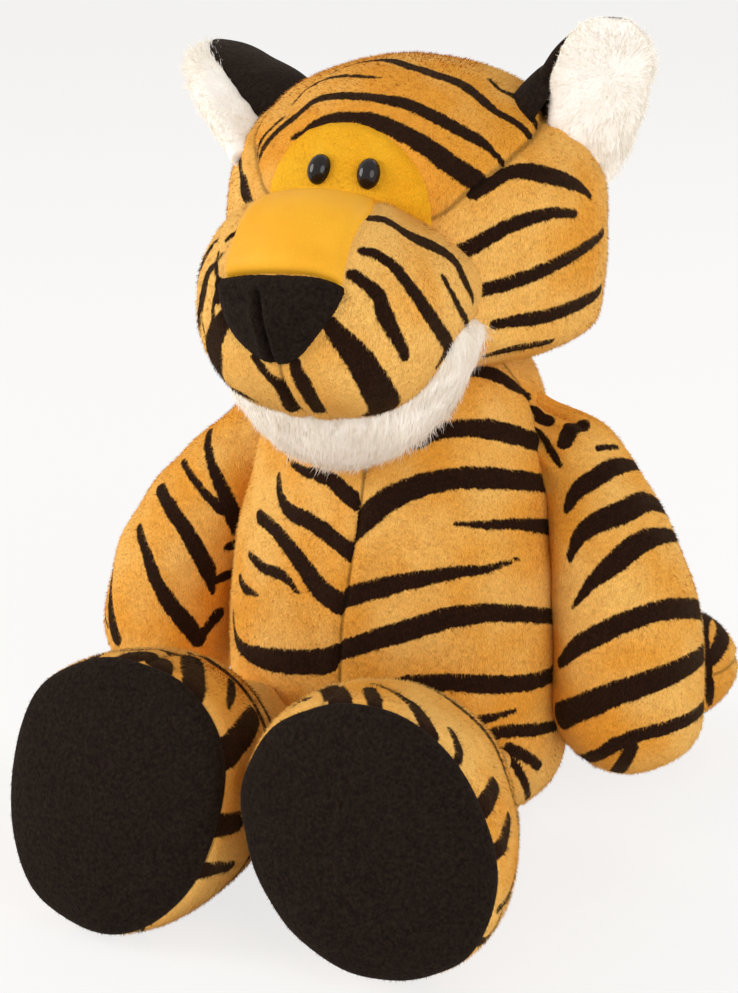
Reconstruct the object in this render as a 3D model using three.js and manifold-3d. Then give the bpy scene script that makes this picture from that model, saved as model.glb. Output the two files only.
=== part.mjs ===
// A plush tiger that sits by itself, with a floppy head, arms, legs, ears and tail.
// Millimetres, +Z up. The tiger faces -Y and its left side is +X.
// Each stuffed form is a skin of sewn panels round its own filling.
import * as THREE from "three";
import { mergeVertices } from "three/addons/utils/BufferGeometryUtils.js";
import Module from "manifold-3d";

const wasm = await Module();
wasm.setup();

// Cloth, seams and cutting
const clothThickness = 2.4;
const fillingGap = 0.35;
const seamGap = 0.3;
const jointGap = 0.3;
const seatSink = 0.5;
const overrun = 60;
const weldDistance = 1e-4;

// Torso
const torsoHeight = 226;
const torsoWidth = 152;
const torsoDepth = 118;
const torsoBottomRound = 34;
const torsoSeatShare = 0.45;
const torsoTopRound = 46;
const torsoLean = 24;
const torsoLeanShares = [0, 0, 0, 0.3, 0.75, 1];
const torsoWidthShares = [0.97, 1, 0.99, 0.93, 0.8, 0.7];
const torsoDepthShares = [0.97, 1, 0.97, 0.9, 0.8, 0.74];
const sideSeamBack = 8;
const neckHeight = 199;
const neckSetback = 16;

// Head
const headWidth = 160;
const headDepth = 136;
const headBottom = 194;
const headTop = 319;
const headSetback = 15;
const headBottomRound = 22;
const headTopRound = 48;
const headWidthShares = [0.88, 0.98, 1, 0.98, 0.94, 0.9];
const headDepthShares = [0.88, 0.98, 1, 0.98, 0.94, 0.9];
const crownSeamHeight = 277;
const crownSeamForward = 48;
const crownSeamSlopeShare = 0.38;
const headTurnLimit = 25;

// Brow patch and eyes
const browWidth = 72;
const browTop = 302;
const browCentreHeight = 264;
const eyeSpacing = 21;
const eyeHeight = 283;
const eyeWidth = 11.5;
const eyeTall = 14;
const eyeProud = 4.9;
const eyeSeatGap = 0.9;
const eyeStemRadius = 2.2;
const eyeStemLength = 11;
const eyeStemClearance = 0.4;
const washerRadius = 7;
const washerThickness = 1.6;
const washerGap = 0.35;
const washerDepth = 5.8;

// Muzzle, nose and beard
const muzzleWidth = 103;
const muzzleHeight = 88;
const muzzleBack = -14;
const muzzleFront = -113;
const muzzleCentreHeight = 240;
const muzzleNoseDrop = 8;
const muzzleFrontRound = 38;
const muzzleWidthShares = [0.96, 1, 0.99, 0.94, 0.9];
const muzzleHeightShares = [0.6, 0.69, 0.92, 1, 0.94];
const muzzleRoundness = 2.2;
const bridgeWidth = 48;
const noseTop = 251;
const noseBottom = 218;
const noseWidth = 54;
const beardWidth = 124;
const beardHeight = 108;
const beardBack = 2;
const beardFront = -82;
const beardCentreHeight = 221;
const beardRound = 34;
const beardTopHeight = 238;

// Ears
const earWidth = 51;
const earCupDepth = 30;
const earTipRound = 27;
const earLip = 2;
const earFurThickness = 4.4;
const earFoldLimit = 15;
const earWidthShares = [0.8, 0.97, 1, 0.94];
const earCupShares = [0.9, 1, 0.96, 0.8];
const earRootReach = 59;
const earRootSetback = 17;
const earRootHeight = 276;
const leftEarReach = 31;
const leftEarForward = 8;
const leftEarRise = 67;
const rightEarReach = 48;
const rightEarBack = 20;
const rightEarRise = 34;
const leftEarOpenShares = [0.8, -0.5, -0.35];
const rightEarOpenShares = [-0.35, -0.05, -0.93];

// Arms
const armLength = 152;
const armWidth = 62;
const armTipRound = 30;
const shoulderReach = 46;
const shoulderHeight = 181;
const shoulderSetback = 14;
const shoulderHingeReach = 50;
const shoulderHingeHeight = 193;
const leftArmOutShares = [0, 0.2, 0.3, 0.36, 0.375];
const rightArmOutShares = [-0.03, 0.12, 0.26, 0.39, 0.445];
const armForwardShares = [0, 0.02, 0.04, 0.055, 0.06];
const armDownShares = [0, 0.16, 0.36, 0.62, 1];
const armThicknessShares = [0.34, 0.5, 0.8, 0.98, 1, 0.98];
const armBreadthShares = [0.62, 0.58, 0.8, 0.97, 1, 0.98];
const armSeamSetback = 10;
const armRaiseLimit = 50;

// Legs
const footWidth = 99;
const footHeight = 111;
const soleRound = 9;
const soleSeamBack = 7;
const hipReach = 41;
const hipForward = 34;
const hipHeight = 30;
const hipHingeForward = 46;
const hipHingeHeight = 24;
const leftFootReach = 61;
const rightFootReach = 49;
const leftFootForward = 166;
const rightFootForward = 170;
const footTilt = 8;
const legDropLimit = 60;
const legLiftLimit = 30;
const legRunShares = [0, 0.24, 0.5, 0.76, 1];
const legRiseShares = [0, 0.26, 0.6, 0.9, 1];
const leftLegOutShares = [0, 0.1, 0.3, 0.62, 1];
const rightLegOutShares = [0, 0.5, 0.85, 1, 1];
const legWidthShares = [0.52, 0.64, 0.78, 0.95, 1.01, 0.97];
const legHeightShares = [0.4, 0.54, 0.68, 0.88, 0.99, 0.97];

// Tail
const tailThickness = 49;
const tailReach = 118;
const tailRun = 62;
const tailRootSetback = 44;
const tailTipRound = 23;
const tailTipRise = 18;
const tailRiseShares = [0, 0, 0.4, 1];
const tailOutShares = [0, 0.16, 0.5, 1];
const tailBackShares = [0, 0.62, 1, 0.98];
const tailThicknessShares = [0.74, 0.88, 1, 0.98];
const tailSwingLimit = 15;

// How finely the forms are faceted
const bodySides = 24;
const limbSides = 16;
const earSides = 12;
const sweepStep = 15;
const eyeFacets = 10;

const materials = {
  stripedPlush: new THREE.MeshStandardMaterial({ color: 0xe0973f, roughness: 0.95, metalness: 0 }),
  satin: new THREE.MeshStandardMaterial({ color: 0xf0ac2c, roughness: 0.55, metalness: 0 }),
  goldPlush: new THREE.MeshStandardMaterial({ color: 0xe3a222, roughness: 0.9, metalness: 0 }),
  darkVelour: new THREE.MeshStandardMaterial({ color: 0x241b18, roughness: 0.9, metalness: 0 }),
  whiteFur: new THREE.MeshStandardMaterial({ color: 0xf3eee6, roughness: 1, metalness: 0 }),
  filling: new THREE.MeshStandardMaterial({ color: 0xf4f1ea, roughness: 1, metalness: 0 }),
  glossyBlack: new THREE.MeshStandardMaterial({ color: 0x0b0a0a, roughness: 0.12, metalness: 0 }),
  washerPlastic: new THREE.MeshStandardMaterial({ color: 0xd9d6cf, roughness: 0.5, metalness: 0 }),
};

const vec = (x, y, z) => new THREE.Vector3(x, y, z);
const rad = THREE.MathUtils.degToRad;
const xAxis = vec(1, 0, 0);
const yAxis = vec(0, 1, 0);
const zAxis = vec(0, 0, 1);
const bothSides = { left: 1, right: -1 };

function solidOf(geometry) {
  const bare = (geometry.index ? geometry.toNonIndexed() : geometry).clone();
  bare.deleteAttribute("normal");
  bare.deleteAttribute("uv");
  const merged = mergeVertices(bare, weldDistance);
  return new wasm.Manifold(
    new wasm.Mesh({
      numProp: 3,
      vertProperties: new Float32Array(merged.attributes.position.array),
      triVerts: new Uint32Array(merged.index.array),
    }),
  );
}

function geometryOf(solid) {
  const mesh = solid.getMesh();
  const places = new Float32Array(mesh.numVert * 3);
  for (let i = 0; i < mesh.numVert; i++) {
    const first = i * mesh.numProp;
    places.set(mesh.vertProperties.subarray(first, first + 3), i * 3);
  }
  const geometry = new THREE.BufferGeometry();
  geometry.setAttribute("position", new THREE.BufferAttribute(places, 3));
  geometry.setIndex(new THREE.BufferAttribute(mesh.triVerts, 1));
  geometry.computeVertexNormals();
  return geometry;
}

// Rings of points joined into one closed skin, with a fan over each end.
function skinOverRings(rings, startPole, endPole) {
  const count = rings[0].length;
  const places = [...rings.flat(), startPole, endPole].flatMap((p) => [p.x, p.y, p.z]);
  const startIndex = rings.length * count;
  const lastRing = startIndex - count;
  const index = [];
  for (let side = 0; side < count; side++) {
    const next = (side + 1) % count;
    for (let ring = 0; ring + 1 < rings.length; ring++) {
      const low = ring * count;
      const high = low + count;
      index.push(low + side, low + next, high + next);
      index.push(low + side, high + next, high + side);
    }
    index.push(startIndex, next, side);
    index.push(startIndex + 1, lastRing + side, lastRing + next);
  }
  const geometry = new THREE.BufferGeometry();
  geometry.setAttribute("position", new THREE.Float32BufferAttribute(places, 3));
  geometry.setIndex(index);
  return geometry;
}

// A stuffed form is a spine with a width and a depth that swell and taper along it.
// Each end is round, or is cut off where the form runs on into the one that carries it.
function makeForm(settings) {
  const curve = new THREE.CatmullRomCurve3(settings.spine);
  const halves = settings.widthShares.map((share, i) =>
    vec((share * settings.width) / 2, (settings.depthShares[i] * settings.depth) / 2, 0),
  );
  const sizes = new THREE.CatmullRomCurve3(halves);
  const usual = { roundness: 2, startRound: 0, startFlatShare: 0, capRings: 3 };
  return { ...usual, ...settings, curve, sizes, length: curve.getLength() };
}

// The stations along a form: how far along, how far a round end closes it, and which way that leads.
function stationsOf(form) {
  const stations = [];
  const flat = form.startFlatShare;
  for (let i = flat > 0 ? 0 : 1; i <= form.capRings && form.startRound > 0; i++) {
    const turn = ((i / form.capRings) * Math.PI) / 2;
    const at = form.startRound * (1 - Math.cos(turn));
    stations.push({ at, close: flat + (1 - flat) * Math.sin(turn), lead: -Math.cos(turn) });
  }
  if (form.startRound === 0) stations.push({ at: 0, close: 1, lead: 0, cutOff: true });
  const straight = form.length - form.startRound - form.endRound;
  for (let i = 1; i < form.rings; i++) {
    stations.push({ at: form.startRound + (straight * i) / form.rings, close: 1, lead: 0 });
  }
  for (let i = 0; i < form.capRings; i++) {
    const turn = ((i / form.capRings) * Math.PI) / 2;
    const at = form.length - form.endRound * (1 - Math.sin(turn));
    stations.push({ at, close: Math.cos(turn), lead: Math.sin(turn) });
  }
  return stations;
}

function frameAt(form, share) {
  const along = form.curve.getTangentAt(share);
  const right = form.across.clone().addScaledVector(along, -form.across.dot(along)).normalize();
  return { centre: form.curve.getPointAt(share), along, right, up: along.clone().cross(right) };
}

const squircle = (value, roundness) => Math.sign(value) * Math.abs(value) ** (2 / roundness);

// A point on the skin of a form, grown outwards by an offset, at an angle round one of its stations.
function skinPoint(form, station, turn, grow) {
  const share = THREE.MathUtils.clamp(station.at / form.length, 0, 1);
  const { centre, along, right, up } = frameAt(form, share);
  const size = form.sizes.getPoint(share);
  const width = (size.x + grow) * station.close * squircle(Math.cos(turn), form.roundness);
  const depth = (size.y + grow) * station.close * squircle(Math.sin(turn), form.roundness);
  const lead = station.cutOff ? Math.min(grow, 0) && -overrun : station.lead * grow;
  return centre.addScaledVector(along, lead).addScaledVector(right, width).addScaledVector(up, depth);
}

function formSolid(form, grow = 0, count = form.sides) {
  const turns = Array.from({ length: count }, (_, side) => (side / count) * Math.PI * 2);
  const rings = stationsOf(form).map((station) => turns.map((turn) => skinPoint(form, station, turn, grow)));
  const start = frameAt(form, 0);
  const end = frameAt(form, 1);
  const startLead = form.startRound > 0 ? -grow : Math.min(grow, 0) && -overrun;
  const startPole = start.centre.addScaledVector(start.along, startLead);
  const endPole = end.centre.addScaledVector(end.along, grow);
  return solidOf(skinOverRings(rings, startPole, endPole));
}

// The part of a solid that lies on the side of a plane which the normal points to
function keep(solid, normal, point, gap = 0) {
  const unit = normal.clone().normalize();
  return solid.trimByPlane([unit.x, unit.y, unit.z], unit.dot(point) + gap);
}
const above = (solid, height) => keep(solid, zAxis, vec(0, 0, height));
const below = (solid, height) => keep(solid, zAxis.clone().negate(), vec(0, 0, height));
const union = (solids) => wasm.Manifold.union(solids);

function turnedAbout(solid, pivot, axis, degrees) {
  const matrix = new THREE.Matrix4().makeTranslation(pivot.x, pivot.y, pivot.z);
  matrix.multiply(new THREE.Matrix4().makeRotationAxis(axis, rad(degrees)));
  matrix.multiply(new THREE.Matrix4().makeTranslation(-pivot.x, -pivot.y, -pivot.z));
  return solid.transform(matrix.elements);
}

// The room that a still solid takes, seen from a piece that turns about a pivot between two limits
function sweptPast(solid, pivot, axis, from, to) {
  const steps = Math.ceil((to - from) / sweepStep);
  const turns = Array.from({ length: steps + 1 }, (_, i) => from + ((to - from) * i) / steps);
  return union(turns.map((turn) => turnedAbout(solid, pivot, axis, -turn)));
}

const toy = new THREE.Group();
function add(name, solid, material) {
  const mesh = new THREE.Mesh(geometryOf(solid), material);
  mesh.name = name;
  toy.add(mesh);
}

// Two panels of one skin, parted along a seam plane
function addPanels(names, skin, normal, point, material) {
  add(names[0], keep(skin, normal, point, seamGap / 2), material);
  add(names[1], keep(skin, normal.clone().negate(), point, seamGap / 2), material);
}

// The filling of a limb, held back from its own skin and from the room of what carries it
function addFilling(name, form, room) {
  const inset = clothThickness + fillingGap;
  const inner = formSolid(form, -inset, form.sides / 2).intersect(formSolid(form));
  add(name, above(inner, inset).subtract(room), materials.filling);
}

// Torso: two front panels and two back panels
const torsoForm = makeForm({
  spine: torsoLeanShares.map((share, i) => {
    const rise = i / (torsoLeanShares.length - 1);
    return vec(0, share * torsoLean, rise * (torsoHeight + seatSink) - seatSink);
  }),
  across: xAxis,
  width: torsoWidth,
  depth: torsoDepth,
  widthShares: torsoWidthShares,
  depthShares: torsoDepthShares,
  startRound: torsoBottomRound,
  startFlatShare: torsoSeatShare,
  endRound: torsoTopRound,
  rings: 5,
  sides: bodySides,
});
const neckPivot = vec(0, neckSetback, neckHeight);
const torsoRoom = below(formSolid(torsoForm, jointGap), neckHeight - jointGap / 2);

function addTorso() {
  const whole = below(above(formSolid(torsoForm), 0), neckHeight - jointGap / 2);
  const skin = whole.subtract(above(formSolid(torsoForm, -clothThickness), clothThickness));
  const seam = vec(0, sideSeamBack, 0);
  const front = keep(skin, yAxis.clone().negate(), seam, seamGap / 2);
  const back = keep(skin, yAxis, seam, seamGap / 2);
  addPanels(["body_front_left", "body_front_right"], front, xAxis, seam, materials.stripedPlush);
  addPanels(["body_back_left", "body_back_right"], back, xAxis, seam, materials.stripedPlush);
  const inset = clothThickness + fillingGap;
  const filling = above(formSolid(torsoForm, -inset, bodySides / 2), inset);
  add("body_stuffing", below(filling, neckHeight - jointGap / 2), materials.filling);
}

// Head: a crown panel, two cheek panels and a muzzle sewn over one filling
const headForm = makeForm({
  spine: [0, 1 / 2, 1].map((rise) => vec(0, headSetback, headBottom + rise * (headTop - headBottom))),
  across: xAxis,
  width: headWidth,
  depth: headDepth,
  widthShares: headWidthShares,
  depthShares: headDepthShares,
  startRound: headBottomRound,
  endRound: headTopRound,
  rings: 3,
  capRings: 5,
  sides: bodySides,
});
const muzzleForm = makeForm({
  spine: [0, 1 / 2, 1].map((run) =>
    vec(0, muzzleBack + run * (muzzleFront - muzzleBack), muzzleCentreHeight - run * run * muzzleNoseDrop),
  ),
  across: xAxis,
  width: muzzleWidth,
  depth: muzzleHeight,
  widthShares: muzzleWidthShares,
  depthShares: muzzleHeightShares,
  endRound: muzzleFrontRound,
  rings: 4,
  sides: bodySides,
  roundness: muzzleRoundness,
});
const headRoom = formSolid(headForm, jointGap);

// A point on the front of the head, and the way the head faces there
function headFront(across, height) {
  const at = height - headBottom;
  const size = headForm.sizes.getPoint(at / headForm.length);
  const topShare = Math.max(0, at - headForm.length + headTopRound) / headTopRound;
  const closeShare = Math.sqrt(1 - topShare ** 2);
  const sideShare = across / (size.x * closeShare);
  const frontShare = Math.sqrt(1 - sideShare ** 2);
  const point = vec(across, headSetback - size.y * closeShare * frontShare, height);
  const slope = (topShare / closeShare) * (size.y / headTopRound);
  return { point, facing: vec((sideShare * size.y) / size.x, -frontShare, slope).normalize() };
}

// A revolved shape that faces a direction from a point, with its own heights along that direction
function revolved(profile, facets, { point, facing }, widthScale = 1) {
  const lathe = new THREE.LatheGeometry(
    profile.map(([radius, place]) => new THREE.Vector2(radius, place)),
    facets,
  );
  lathe.rotateX(Math.PI / 2);
  lathe.scale(widthScale, 1, 1);
  const right = xAxis.clone().addScaledVector(facing, -xAxis.dot(facing)).normalize();
  const turn = new THREE.Matrix4().makeBasis(right, facing.clone().cross(right), facing);
  return solidOf(lathe.applyMatrix4(turn).translate(point.x, point.y, point.z));
}

// A safety eye: an oval dome on a stem, held by a washer behind the cloth
function eyeSolids(side) {
  const seat = headFront((side * eyeSpacing) / 2, eyeHeight);
  const dome = [0, 1, 2, 3, 4, 5].map((step) => {
    const turn = ((step / 5) * Math.PI) / 2;
    return [(eyeTall / 2) * Math.cos(turn), eyeSeatGap + eyeProud * Math.sin(turn)];
  });
  dome[5][0] = 0;
  const eye = union([
    revolved([[0, eyeSeatGap], ...dome], eyeFacets, seat, eyeWidth / eyeTall),
    revolved(
      [[0, -eyeStemLength], [eyeStemRadius, -eyeStemLength], [eyeStemRadius, eyeSeatGap * 2], [0, eyeSeatGap * 2]],
      eyeFacets,
      seat,
    ),
  ]);
  const ring = (inner, outer, back, front) =>
    revolved([[inner, back], [outer, back], [outer, front], [inner, front], [inner, back]], eyeFacets, seat);
  const plug = (radius, back, front) =>
    revolved([[0, back], [radius, back], [radius, front], [0, front]], eyeFacets, seat);
  const back = -washerDepth - washerThickness;
  return {
    eye,
    washer: ring(eyeStemRadius + washerGap, washerRadius, back, -washerDepth),
    stemHole: plug(eyeStemRadius + eyeStemClearance, -washerDepth, eyeProud),
    pocket: union([
      plug(washerRadius + washerGap, back - washerGap, eyeProud),
      plug(eyeStemRadius + washerGap, -eyeStemLength - washerGap, eyeProud),
    ]),
  };
}

// The brow patch is the part of the crown inside an oval seen from the front.
function browZone(grow) {
  const oval = new THREE.Shape();
  oval.absellipse(0, browCentreHeight, browWidth / 2 + grow, browTop - browCentreHeight + grow, 0, Math.PI * 2);
  const prism = new THREE.ExtrudeGeometry(oval, { depth: headDepth, bevelEnabled: false, curveSegments: 16 });
  return solidOf(prism.rotateX(Math.PI / 2).translate(0, headSetback, 0));
}

function addHead() {
  const inset = clothThickness + fillingGap;
  const eyes = Object.values(bothSides).map(eyeSolids);
  const holes = union(eyes.map((parts) => parts.stemHole));
  const whole = above(formSolid(headForm), neckHeight + jointGap / 2);
  const muzzleInside = formSolid(muzzleForm, -clothThickness);
  const hollow = union([formSolid(headForm, -clothThickness), muzzleInside]);
  const skin = whole.subtract(hollow).subtract(holes);
  const seam = vec(0, -crownSeamForward, crownSeamHeight);
  const seamNormal = vec(0, -crownSeamSlopeShare, 1);
  const crown = keep(skin, seamNormal, seam, seamGap / 2).subtract(formSolid(muzzleForm, seamGap));
  const cheeks = keep(skin, seamNormal.clone().negate(), seam, seamGap / 2).subtract(
    formSolid(muzzleForm, seamGap),
  );
  add("head_crown", crown.subtract(browZone(seamGap)), materials.stripedPlush);
  add("brow_patch", crown.intersect(browZone(0)), materials.goldPlush);
  addPanels(["head_cheek_left", "head_cheek_right"], cheeks, xAxis, seam, materials.stripedPlush);
  const pockets = union(eyes.map((parts) => parts.pocket));
  const filling = union([formSolid(headForm, -inset, bodySides / 2), formSolid(muzzleForm, -inset, bodySides / 2)]);
  add("head_stuffing", above(filling, neckHeight + jointGap / 2).subtract(pockets), materials.filling);
  Object.keys(bothSides).forEach((word, i) => {
    add(`eye_${word}`, eyes[i].eye, materials.glossyBlack);
    add(`eye_washer_${word}`, eyes[i].washer, materials.washerPlastic);
  });
}

// Muzzle: two side panels, a satin bridge on top and a dark nose at the tip
function noseZone(grow) {
  const half = noseWidth / 2 + grow;
  const middle = (noseTop + noseBottom) / 2;
  const outline = new THREE.Shape();
  outline.moveTo(-half, noseTop + grow);
  outline.lineTo(half, noseTop + grow);
  outline.quadraticCurveTo(half, middle, 0, noseBottom - grow);
  outline.quadraticCurveTo(-half, middle, -half, noseTop + grow);
  const reach = { depth: -muzzleFront, bevelEnabled: false, curveSegments: 8 };
  const prism = new THREE.ExtrudeGeometry(outline, reach).rotateX(Math.PI / 2);
  return solidOf(prism.translate(0, muzzleFront / 2, 0));
}

function bridgeZone(grow) {
  const size = vec(bridgeWidth + grow * 2, -muzzleFront * 2, muzzleHeight);
  const bottom = noseTop + seamGap - grow;
  const box = new THREE.BoxGeometry(size.x, size.y, size.z);
  return solidOf(box.translate(0, muzzleFront, bottom + size.z / 2));
}

function addMuzzle() {
  const hollow = union([headRoom, formSolid(muzzleForm, -clothThickness)]);
  const skin = formSolid(muzzleForm).subtract(hollow);
  const seam = vec(0, 0, 0);
  add("nose", skin.intersect(noseZone(0)), materials.darkVelour);
  add("muzzle_bridge", skin.intersect(bridgeZone(0)), materials.satin);
  const sides = skin.subtract(union([noseZone(seamGap), bridgeZone(seamGap)]));
  addPanels(["muzzle_left", "muzzle_right"], sides, xAxis, seam, materials.stripedPlush);
}

// Beard: one crescent of long fur, sewn round the head below the muzzle
const beardForm = makeForm({
  spine: [0, 1 / 2, 1].map((run) => vec(0, beardBack + run * (beardFront - beardBack), beardCentreHeight)),
  across: xAxis,
  width: beardWidth,
  depth: beardHeight,
  widthShares: [1, 1, 1],
  depthShares: [1, 1, 1],
  startRound: beardRound,
  endRound: beardRound,
  rings: 2,
  sides: bodySides,
});

// The room that an arm takes as it swings up
function armRoom(side) {
  const room = formSolid(armForm(side), jointGap);
  const raises = [0, 1 / 2, 1].map((share) => share * armRaiseLimit);
  return union(raises.map((raise) => turnedAbout(room, shoulderPivot(side), raiseAxis(side), raise)));
}

function addBeard() {
  const still = union([torsoRoom, ...Object.values(bothSides).map(armRoom)]);
  const trimmed = below(formSolid(beardForm), beardTopHeight);
  const clear = sweptPast(still, neckPivot, zAxis, -headTurnLimit, headTurnLimit);
  const beard = trimmed.subtract(union([clear, headRoom, formSolid(muzzleForm, jointGap)]));
  add("chin_beard", beard, materials.whiteFur);
}

// Ears: a cup of dark cloth lined with long white fur
function earSettings(side) {
  const left = side > 0;
  const root = vec(side * earRootReach, earRootSetback, earRootHeight);
  const tip = left
    ? vec(leftEarReach, -leftEarForward, leftEarRise).add(root)
    : vec(-rightEarReach, rightEarBack, rightEarRise).add(root);
  const open = vec(...(left ? leftEarOpenShares : rightEarOpenShares));
  const along = tip.clone().sub(root).normalize();
  open.addScaledVector(along, -open.dot(along)).normalize();
  const form = makeForm({
    spine: [root, root.clone().lerp(tip, 1 / 2), tip],
    across: open.clone().cross(along),
    width: earWidth,
    depth: earCupDepth,
    widthShares: earWidthShares,
    depthShares: earCupShares,
    endRound: earTipRound,
    rings: 3,
    sides: earSides,
  });
  return { root, open, form, hinge: open.clone().cross(along).normalize() };
}

function addEar(word, side) {
  const { root, open, form, hinge } = earSettings(side);
  const pivot = root.clone();
  const head = sweptPast(headRoom, pivot, hinge, -earFoldLimit, earFoldLimit);
  const lip = root.clone().addScaledVector(open, earLip);
  const cup = (grow, thickness) => {
    const wall = formSolid(form, grow).subtract(formSolid(form, grow - thickness));
    return keep(wall, open.clone().negate(), lip).subtract(head);
  };
  add(`ear_${word}_back`, cup(0, clothThickness), materials.darkVelour);
  add(`ear_${word}_lining`, cup(-clothThickness - seamGap, earFurThickness), materials.whiteFur);
}

// Arms: a front and a back panel over their filling, pinched at the shoulder seam
const shoulderPivot = (side) => vec(side * shoulderHingeReach, shoulderSetback, shoulderHingeHeight);
const raiseAxis = (side) => vec(0, -side, 0);
function armForm(side) {
  const outShares = side > 0 ? leftArmOutShares : rightArmOutShares;
  return makeForm({
    spine: armDownShares.map((share, i) =>
      vec(
        side * (shoulderReach + outShares[i] * armLength),
        shoulderSetback - armForwardShares[i] * armLength,
        shoulderHeight - share * armLength,
      ),
    ),
    across: yAxis,
    width: armWidth,
    depth: armWidth,
    widthShares: armThicknessShares,
    depthShares: armBreadthShares,
    endRound: armTipRound,
    rings: 6,
    sides: limbSides,
  });
}

function addArm(word, side) {
  const form = armForm(side);
  const torso = sweptPast(torsoRoom, shoulderPivot(side), raiseAxis(side), 0, armRaiseLimit);
  const skin = formSolid(form).subtract(union([formSolid(form, -clothThickness), torso]));
  const seam = vec(0, armSeamSetback, 0);
  addPanels([`arm_${word}_back`, `arm_${word}_front`], skin, yAxis, seam, materials.stripedPlush);
  addFilling(`arm_${word}_stuffing`, form, torso);
}

// Legs: an inner and an outer panel and a dark sole over their filling
const hipPivot = vec(0, -hipHingeForward, hipHingeHeight);
function legForm(side) {
  const footCentreHeight = footHeight / 2 - seatSink;
  const footReach = side > 0 ? leftFootReach : rightFootReach;
  const footForward = side > 0 ? leftFootForward : rightFootForward;
  const outShares = side > 0 ? leftLegOutShares : rightLegOutShares;
  return makeForm({
    spine: legRunShares.map((share, i) =>
      vec(
        side * (hipReach + outShares[i] * (footReach - hipReach)),
        -hipForward - share * (footForward - hipForward),
        hipHeight + legRiseShares[i] * (footCentreHeight - hipHeight),
      ),
    ),
    across: vec(Math.cos(rad(footTilt)), 0, side * Math.sin(rad(footTilt))),
    width: footWidth,
    depth: footHeight,
    widthShares: legWidthShares,
    depthShares: legHeightShares,
    endRound: soleRound,
    rings: 5,
    sides: limbSides,
  });
}

function addLeg(word, side) {
  const form = legForm(side);
  const torso = sweptPast(torsoRoom, hipPivot, xAxis.clone().negate(), -legDropLimit, legLiftLimit);
  const skin = above(formSolid(form).subtract(union([formSolid(form, -clothThickness), torso])), 0);
  const end = frameAt(form, 1);
  const soleSeam = end.centre.clone().addScaledVector(end.along, -soleSeamBack);
  add(`sole_${word}`, keep(skin, end.along, soleSeam, seamGap / 2), materials.darkVelour);
  const upper = keep(skin, end.along.clone().negate(), soleSeam, seamGap / 2);
  const start = frameAt(form, 0);
  const outward = end.centre.clone().sub(start.centre).cross(zAxis).multiplyScalar(-side).setZ(0);
  addPanels([`leg_${word}_outer`, `leg_${word}_inner`], upper, outward, end.centre, materials.stripedPlush);
  addFilling(`leg_${word}_stuffing`, form, torso);
}

// Tail: a tube of the same plush that lies on the ground behind and curls up to the left
function addTail() {
  const form = makeForm({
    spine: tailOutShares.map((share, i) =>
      vec(
        share * tailReach,
        tailRootSetback + tailBackShares[i] * tailRun,
        (tailThicknessShares[i] * tailThickness) / 2 - seatSink + tailRiseShares[i] * tailTipRise,
      ),
    ),
    across: zAxis,
    width: tailThickness,
    depth: tailThickness,
    widthShares: tailThicknessShares,
    depthShares: tailThicknessShares,
    endRound: tailTipRound,
    rings: 6,
    sides: limbSides,
  });
  const root = frameAt(form, 0).centre;
  const torso = sweptPast(torsoRoom, root, zAxis, -tailSwingLimit, tailSwingLimit);
  const skin = above(formSolid(form).subtract(union([formSolid(form, -clothThickness), torso])), 0);
  const run = frameAt(form, 1).centre.sub(root);
  const upward = run.clone().cross(zAxis).cross(run);
  addPanels(["tail_top", "tail_bottom"], skin, upward, root, materials.stripedPlush);
  addFilling("tail_stuffing", form, torso);
}

addTorso();
addHead();
addMuzzle();
addBeard();
for (const [word, side] of Object.entries(bothSides)) {
  addEar(word, side);
  addArm(word, side);
  addLeg(word, side);
}
addTail();

// The origin is under the middle of the whole toy, on the ground.
const box = new THREE.Box3().setFromObject(toy);
const middle = box.getCenter(vec(0, 0, 0));
toy.position.set(-middle.x, -middle.y, -box.min.z);

export default toy;
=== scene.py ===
import math

import bmesh
import bpy
import numpy as np
from mathutils import Matrix, Vector
from mathutils.bvhtree import BVHTree
from mathutils.kdtree import KDTree


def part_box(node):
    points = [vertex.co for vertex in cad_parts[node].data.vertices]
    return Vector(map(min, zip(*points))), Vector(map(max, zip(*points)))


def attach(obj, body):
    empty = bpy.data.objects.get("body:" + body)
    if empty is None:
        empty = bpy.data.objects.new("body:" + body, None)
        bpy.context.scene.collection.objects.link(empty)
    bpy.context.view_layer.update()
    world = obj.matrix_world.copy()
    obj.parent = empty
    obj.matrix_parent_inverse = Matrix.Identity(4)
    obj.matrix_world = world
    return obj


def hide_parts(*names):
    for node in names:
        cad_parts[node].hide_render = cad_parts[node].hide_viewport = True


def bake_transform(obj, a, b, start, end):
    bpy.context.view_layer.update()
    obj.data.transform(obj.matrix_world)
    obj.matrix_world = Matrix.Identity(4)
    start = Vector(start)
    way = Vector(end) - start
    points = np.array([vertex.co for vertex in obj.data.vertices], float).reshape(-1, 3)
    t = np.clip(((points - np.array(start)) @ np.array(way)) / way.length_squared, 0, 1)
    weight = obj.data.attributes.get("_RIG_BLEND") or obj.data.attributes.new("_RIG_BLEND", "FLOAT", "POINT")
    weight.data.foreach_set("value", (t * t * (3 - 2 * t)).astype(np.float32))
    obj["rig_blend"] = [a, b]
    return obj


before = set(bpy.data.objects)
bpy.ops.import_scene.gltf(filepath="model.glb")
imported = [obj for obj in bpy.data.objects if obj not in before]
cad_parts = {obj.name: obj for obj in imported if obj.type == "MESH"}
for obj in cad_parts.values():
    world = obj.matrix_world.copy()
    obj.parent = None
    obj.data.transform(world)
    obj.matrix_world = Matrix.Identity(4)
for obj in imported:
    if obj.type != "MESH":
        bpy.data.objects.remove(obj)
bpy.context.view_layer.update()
mm = 0.001

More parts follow.
